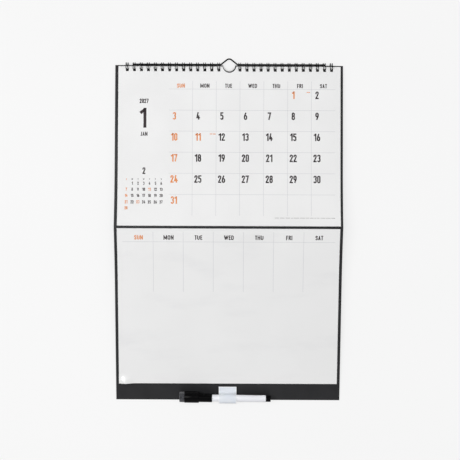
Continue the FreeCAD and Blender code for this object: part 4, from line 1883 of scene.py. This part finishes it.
@dataclass
class Cap:
    """The cap with its felt eraser, which are pulled off together.

    The wide head of the cap, with the felt, stands a little higher than the sleeve on the barrel.
    Places along X and radii are in millimetres, and so is the rounding of its edges.
    """

    place: Matrix
    mouth: float = -21.5
    bore_end: float = -43.1
    bore: float = 4.25
    sleeve: float = 5.7
    shoulder: float = -39.2
    head: float = 7.65
    head_edge: float = 0.8
    rear: float = -58.9
    seat: float = -50.9
    socket: float = 7.0
    rounding: float = 0.22
    rise: float = 0.9 * MM
    felt: float = 6.95
    felt_end: float = -65.6
    ring: float = 1.2
    face_ring: float = 0.9
    uneven: float = 0.1 * MM

    def build_cap(self, finisher: Finisher) -> None:
        """Turn the cap and lift its head.

        Args:
            finisher: Dresses what is built.
        """
        outline = [(self.bore_end, 0.0), (self.bore_end, self.bore), (self.mouth, self.bore)]
        outline += [(self.mouth, self.sleeve), (self.shoulder, self.sleeve)]
        outline += rounded_edge(self.shoulder, self.head, self.head_edge, -1)
        outline += [(self.rear, self.head), (self.rear, self.socket), (self.seat, self.socket)]
        outline += [(self.seat, 0.0)]
        cap = turned("cap", [(along * MM, radius * MM) for along, radius in outline])
        press(cap, "BEVEL", width=self.rounding * MM, segments=2, limit_method="ANGLE")
        start, solid = (self.shoulder + 0.2) * MM, (self.seat + 5.9) * MM
        outside = (self.sleeve + 0.35) * MM
        with editing(cap):
            pick(cap, lambda at: at.x < solid or (at.x < start and at.yz.length > outside))
            bpy.ops.transform.translate(value=(0.0, 0.0, self.rise))
        cap.data.transform(self.place)
        soften(cap, 40)
        finisher.dress(cap, Material.BLACK.value)
        ready(cap, "pen_cap", Body.CAP, "black_plastic", "marker_cap")

    def build_felt(self, finisher: Finisher) -> None:
        """Turn the felt in rings and give what shows of it a slightly uneven face.

        Args:
            finisher: Dresses what is built.
        """
        side = [(self.seat - self.ring * step, self.felt) for step in range(1, 12)]
        edge = [(self.felt_end + 0.4, self.felt - 0.1), (self.felt_end + 0.05, self.felt - 0.35)]
        face = [(self.felt_end, self.felt - 0.75 - self.face_ring * step) for step in range(7)]
        outline = [(self.seat, 0.0), (self.seat, self.felt), *side, *edge, *face, (self.felt_end, 0.0)]
        felt = turned("felt", [(along * MM, radius * MM) for along, radius in outline], 64)
        showing = (self.rear - 0.5) * MM
        with editing(felt):
            pick(felt, lambda at: at.x < showing)
            bpy.ops.transform.vertex_random(offset=self.uneven, uniform=0.4, normal=0.5, seed=5)
        felt.data.transform(self.place @ Matrix.Translation((0.0, 0.0, self.rise)))
        soften(felt, 50)
        finisher.dress(felt, Material.FELT.value)
        ready(felt, "felt_eraser", Body.CAP, "grey_felt", "marker_eraser")

    def build(self, finisher: Finisher) -> None:
        """Build the cap, and then its felt."""
        self.build_cap(finisher)
        self.build_felt(finisher)


@dataclass
class PenHolder:
    """A clear strip folded double, stuck to the board above and looped round the barrel below."""

    place: Matrix
    axis_out: float
    left: float = -12.4 * MM
    width: float = 24.1 * MM
    cells_across: int = 4
    thick: float = 0.49 * MM
    rounding: float = 0.1 * MM
    reach: float = 5.15 * MM
    slack: float = 1.8 * MM
    top: float = 13.9 * MM
    joint: float = 5.7 * MM
    rear: float = 0.75 * MM
    front: float = 1.25 * MM
    bend: float = 1.0 * MM

    def touch(self, start: Vector, centre: Vector, side: int) -> Vector:
        """Where a line from a point touches a circle of the strip's loop.

        Args:
            start: The point, in the YZ plane.
            centre: Middle of the circle.
            side: Which of the two lines.

        Returns:
            The place on the circle.
        """
        across = centre - start
        reach = math.sqrt(across.length_squared - self.reach**2)
        turn = Matrix.Rotation(side * math.asin(self.reach / across.length), 3, "X")
        return start + (turn @ across).normalized() * reach

    def build(self, finisher: Finisher) -> None:
        """Draw the strip's line, widen it and give it its thickness.

        Args:
            finisher: Dresses what is built.
        """
        x = self.left
        axis = Vector((-1, 0, 0))
        low_centre = Vector((x, -self.axis_out, -self.slack))
        high_centre = Vector((x, -self.axis_out, 0.0))
        rear_joint = Vector((x, -self.rear, self.joint))
        front_joint = Vector((x, -self.front, self.joint))
        low_touch = self.touch(rear_joint, low_centre, 1)
        high_touch = self.touch(front_joint, high_centre, -1)
        pen = Pen("strip", Vector((x, -self.rear, self.top)))
        pen.line(rear_joint, low_touch)
        spoke = low_touch - low_centre
        pen.sweep(low_centre, axis, 180 + math.degrees(math.atan2(spoke.z, spoke.y)), 18)
        pen.line(high_centre + Vector((0, -self.reach, 0)))
        spoke = high_touch - high_centre
        pen.sweep(high_centre, axis, 180 - math.degrees(math.atan2(spoke.z, spoke.y)), 9)
        towards = (front_joint - high_touch).normalized()
        corner = math.atan2(towards.y, towards.z)
        pen.line(front_joint - towards * self.bend * math.tan(corner / 2))
        bend_centre = pen.place + Vector((0, -towards.z, towards.y)) * self.bend
        pen.sweep(bend_centre, -axis, math.degrees(corner), 5)
        pen.line(Vector((x, -self.front, self.top)))
        strip = pen.lift()
        with editing(strip):
            bpy.ops.mesh.select_all(action="SELECT")
            for _ in range(self.cells_across):
                step = {"value": (self.width / self.cells_across, 0.0, 0.0)}
                bpy.ops.mesh.extrude_region_move(TRANSFORM_OT_translate=step)
        press(strip, "SOLIDIFY", thickness=self.thick, offset=0.0)
        limit = math.radians(50)
        press(strip, "BEVEL", width=self.rounding, segments=2, limit_method="ANGLE", angle_limit=limit)
        with editing(strip):
            bpy.ops.mesh.select_all(action="SELECT")
            bpy.ops.mesh.normals_make_consistent(inside=False)
        strip.data.transform(self.place)
        soften(strip, 40)
        low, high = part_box("pen_holder")
        clear = ClearStrip(
            "clear_strip", tint(240, 246, 255), tint(245, 249, 255), 0.22, 0.5, 12, 0.01, 0.3, 0.04,
            low=low, high=high,
        )
        finisher.dress(strip, clear)
        ready(strip, "clear_holder", Body.BOARD, "clear_strip", "pen_holder")


# ---------------------------------------------------------------------------------------------
# Room
# ---------------------------------------------------------------------------------------------


@dataclass(frozen=True)
class SoftLamp:
    """A square soft lamp: its place, the length of its side and its power in watts."""

    name: str
    place: tuple[float, float, float]
    side: float
    power: float


@dataclass
class Studio:
    """The wall it hangs on, a pale floor far below, soft lamps and the camera.

    To the eye the wall is evenly pale, but not where something hangs close before it: there an
    ambient-occlusion mask takes its even glow away, so it is lit by the lamps alone and keeps its
    shadow, and its colour is blended to a painted shade.
    """

    wall_y: float = 4.5 * MM
    floor_z: float = -1.6
    eye: tuple[float, float, float] = (1.7 * MM, -1300.24 * MM, -159.27 * MM)
    pitch: float = math.radians(3.043)
    yaw: float = math.radians(0.014)
    roll: float = math.radians(0.24)
    lens: float = 75.33
    even_share: float = 0.86
    close: float = 120.0 * MM
    covered: float = 0.25
    bare: float = 0.6
    # The painted shade that the wall's colour takes where something hangs close before it.
    covered_colour: Colour = tint(120, 120, 120)
    aim: tuple[float, float, float] = (0.0, 0.0, -0.22)
    lamps: tuple[SoftLamp, ...] = (
        SoftLamp("soft_left", (-1.0, -2.0, 0.1), 1.0, 24.0),
        SoftLamp("soft_right", (0.9, -2.3, 0.4), 2.0, 9.0),
    )

    def only_seen(self, name: str, colour: Colour, from_front: bool) -> bpy.types.Material:
        """A pale surface that is there for the eye and in reflections, and lets other light through.

        Args:
            name: The material's name.
            colour: Its colour.
            from_front: Whether it is seen from its front only.

        Returns:
            The material.
        """
        material = bpy.data.materials.new(name)
        material.use_nodes = True
        tree = Tree(material.node_tree)
        place = tree.node("TexCoord").outputs["Object"]
        clouds = tree.node("TexNoise", None, Vector=place, Scale=2.0, Detail=2.0).outputs[0]
        glow = self.uncovered(tree) if from_front else 1.0
        share = tree.maths("MULTIPLY", glow, self.even_share)
        paler = tuple(min(value * 1.015, 1.0) for value in colour[:3]) + (1.0,)
        shade = tree.blend(tree.band(clouds, 0.3, 0.7), colour, paler)
        # Where something hangs close before the wall, its colour is blended to a painted shade.
        lit = tree.node("BsdfDiffuse", None, Color=tree.blend(glow, self.covered_colour, shade))
        even = tree.node("Emission", None, Color=shade, Strength=1.0)
        surface = tree.node("MixShader", None, i0=share, i1=lit.outputs[0], i2=even.outputs[0])
        clear = tree.node("BsdfTransparent")
        path = tree.node("LightPath")
        seen = tree.maths("MAXIMUM", path.outputs["Is Camera Ray"], path.outputs["Is Glossy Ray"])
        seen = tree.maths("MAXIMUM", seen, path.outputs["Is Transmission Ray"])
        if from_front:
            back = tree.node("NewGeometry").outputs["Backfacing"]
            seen = tree.maths("MULTIPLY", seen, tree.maths("SUBTRACT", 1.0, back))
        mixed = tree.node("MixShader", None, i0=seen, i1=clear.outputs[0], i2=surface.outputs[0])
        tree.node("OutputMaterial", None, Surface=mixed.outputs[0])
        return material

    def uncovered(self, tree: Tree) -> bpy.types.NodeSocket:
        """An ambient-occlusion mask for the wall's painted shade: 0 where something hangs close before it, 1
        where bare.
        """
        open_share = tree.node("AmbientOcclusion", {"samples": 12}, Distance=self.close).outputs["AO"]
        return tree.band(open_share, self.covered, self.bare)

    def build_surfaces(self) -> None:
        """Add the wall and the floor."""
        nothing_selected()
        bpy.ops.mesh.primitive_plane_add(
            size=6.0, location=(0, self.wall_y, 0), rotation=(math.pi / 2, 0, 0)
        )
        wall = bpy.context.object
        wall.name = "wall"
        settle(wall)
        wall.data.materials.append(self.only_seen("pale_wall", tint(247, 247, 247), True))
        nothing_selected()
        bpy.ops.mesh.primitive_plane_add(size=6.0, location=(0, 0, self.floor_z))
        floor = bpy.context.object
        floor.name = "floor"
        settle(floor)
        floor.data.materials.append(self.only_seen("pale_floor", tint(240, 240, 240), False))

    def build_lamp(self, lamp: SoftLamp) -> None:
        """Add a lamp that looks at the middle of the calendar.

        Args:
            lamp: The lamp.
        """
        nothing_selected()
        bpy.ops.object.light_add(type="AREA", location=lamp.place)
        piece = bpy.context.object
        piece.name = lamp.name
        piece.data.shape = "SQUARE"
        piece.data.size = lamp.side
        piece.data.energy = lamp.power
        way = Vector(self.aim) - Vector(lamp.place)
        piece.rotation_euler = way.to_track_quat("-Z", "Y").to_euler()

    def build_light(self) -> None:
        """Add the lamps, and a world that is pale to the eye and softer as light."""
        for lamp in self.lamps:
            self.build_lamp(lamp)
        world = bpy.data.worlds.new("room")
        bpy.context.scene.world = world
        world.use_nodes = True
        tree = Tree(world.node_tree)
        path = tree.node("LightPath")
        seen = tree.maths("MAXIMUM", path.outputs["Is Camera Ray"], path.outputs["Is Transmission Ray"])
        pale = tree.node("Background", None, Color=tint(245, 245, 246), Strength=1.0)
        soft = tree.node("Background", None, Color=(1.0, 1.0, 1.0, 1.0), Strength=0.45)
        mixed = tree.node("MixShader", None, i0=seen, i1=soft.outputs[0], i2=pale.outputs[0])
        tree.node("OutputWorld", None, Surface=mixed.outputs[0])

    def build_camera(self) -> None:
        """Add the camera at its place in front of the calendar."""
        forward = Vector(
            (
                math.sin(self.yaw) * math.cos(self.pitch),
                math.cos(self.yaw) * math.cos(self.pitch),
                -math.sin(self.pitch),
            )
        )
        level = Vector((math.cos(self.yaw), -math.sin(self.yaw), 0.0))
        upright = level.cross(forward)
        right = level * math.cos(self.roll) + upright * math.sin(self.roll)
        up = upright * math.cos(self.roll) - level * math.sin(self.roll)
        camera = bpy.data.objects.new("eye", bpy.data.cameras.new("eye"))
        bpy.context.scene.collection.objects.link(camera)
        turn = Matrix((right, up, -forward)).transposed().to_4x4()
        camera.matrix_world = Matrix.Translation(self.eye) @ turn
        camera.data.sensor_width = 36.0
        camera.data.lens = self.lens
        bpy.context.scene.camera = camera

    def build(self) -> None:
        """Add everything that isn't the calendar, and set how colours are shown."""
        self.build_surfaces()
        self.build_light()
        self.build_camera()
        bpy.context.scene.view_settings.view_transform = "Standard"


def main() -> None:
    """Build the calendar's looks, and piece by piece."""
    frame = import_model()
    LOG.info("frame of %d nodes", len(frame["nodes"]))
    finisher = Finisher()
    fold = Fold(top_z=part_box("backing_board")[1].z)
    punching = Punching()
    foot = FootPlace(fold)
    pad = MonthPad(fold, punching)
    film = DryEraseSheet(fold)
    faces = {weight: Typeface(weight) for weight in Weight}
    parts = [
        Backing(fold, punching),
        film,
        pad,
        PagePrint(fold, pad, faces),
        SheetPrint(fold, film.thick, faces),
        Binding(punching),
        Hanger(),
        Marker(foot.marker()),
        Cap(foot.marker()),
        PenHolder(foot.holder(), foot.axis_out),
    ]
    for part in parts:
        part.build(finisher)
        LOG.info("%s built", type(part).__name__)
    for face in faces.values():
        face.clear()
    finisher.dress(frame["nodes"]["holder_tape"], Material.TAPE.value)
    finisher.dress(frame["nodes"]["marker_reservoir"], Material.RESERVOIR.value)
    Studio().build()


if __name__ == "__main__":
    logging.basicConfig(level=logging.INFO, format="%(name)s: %(message)s")
    main()
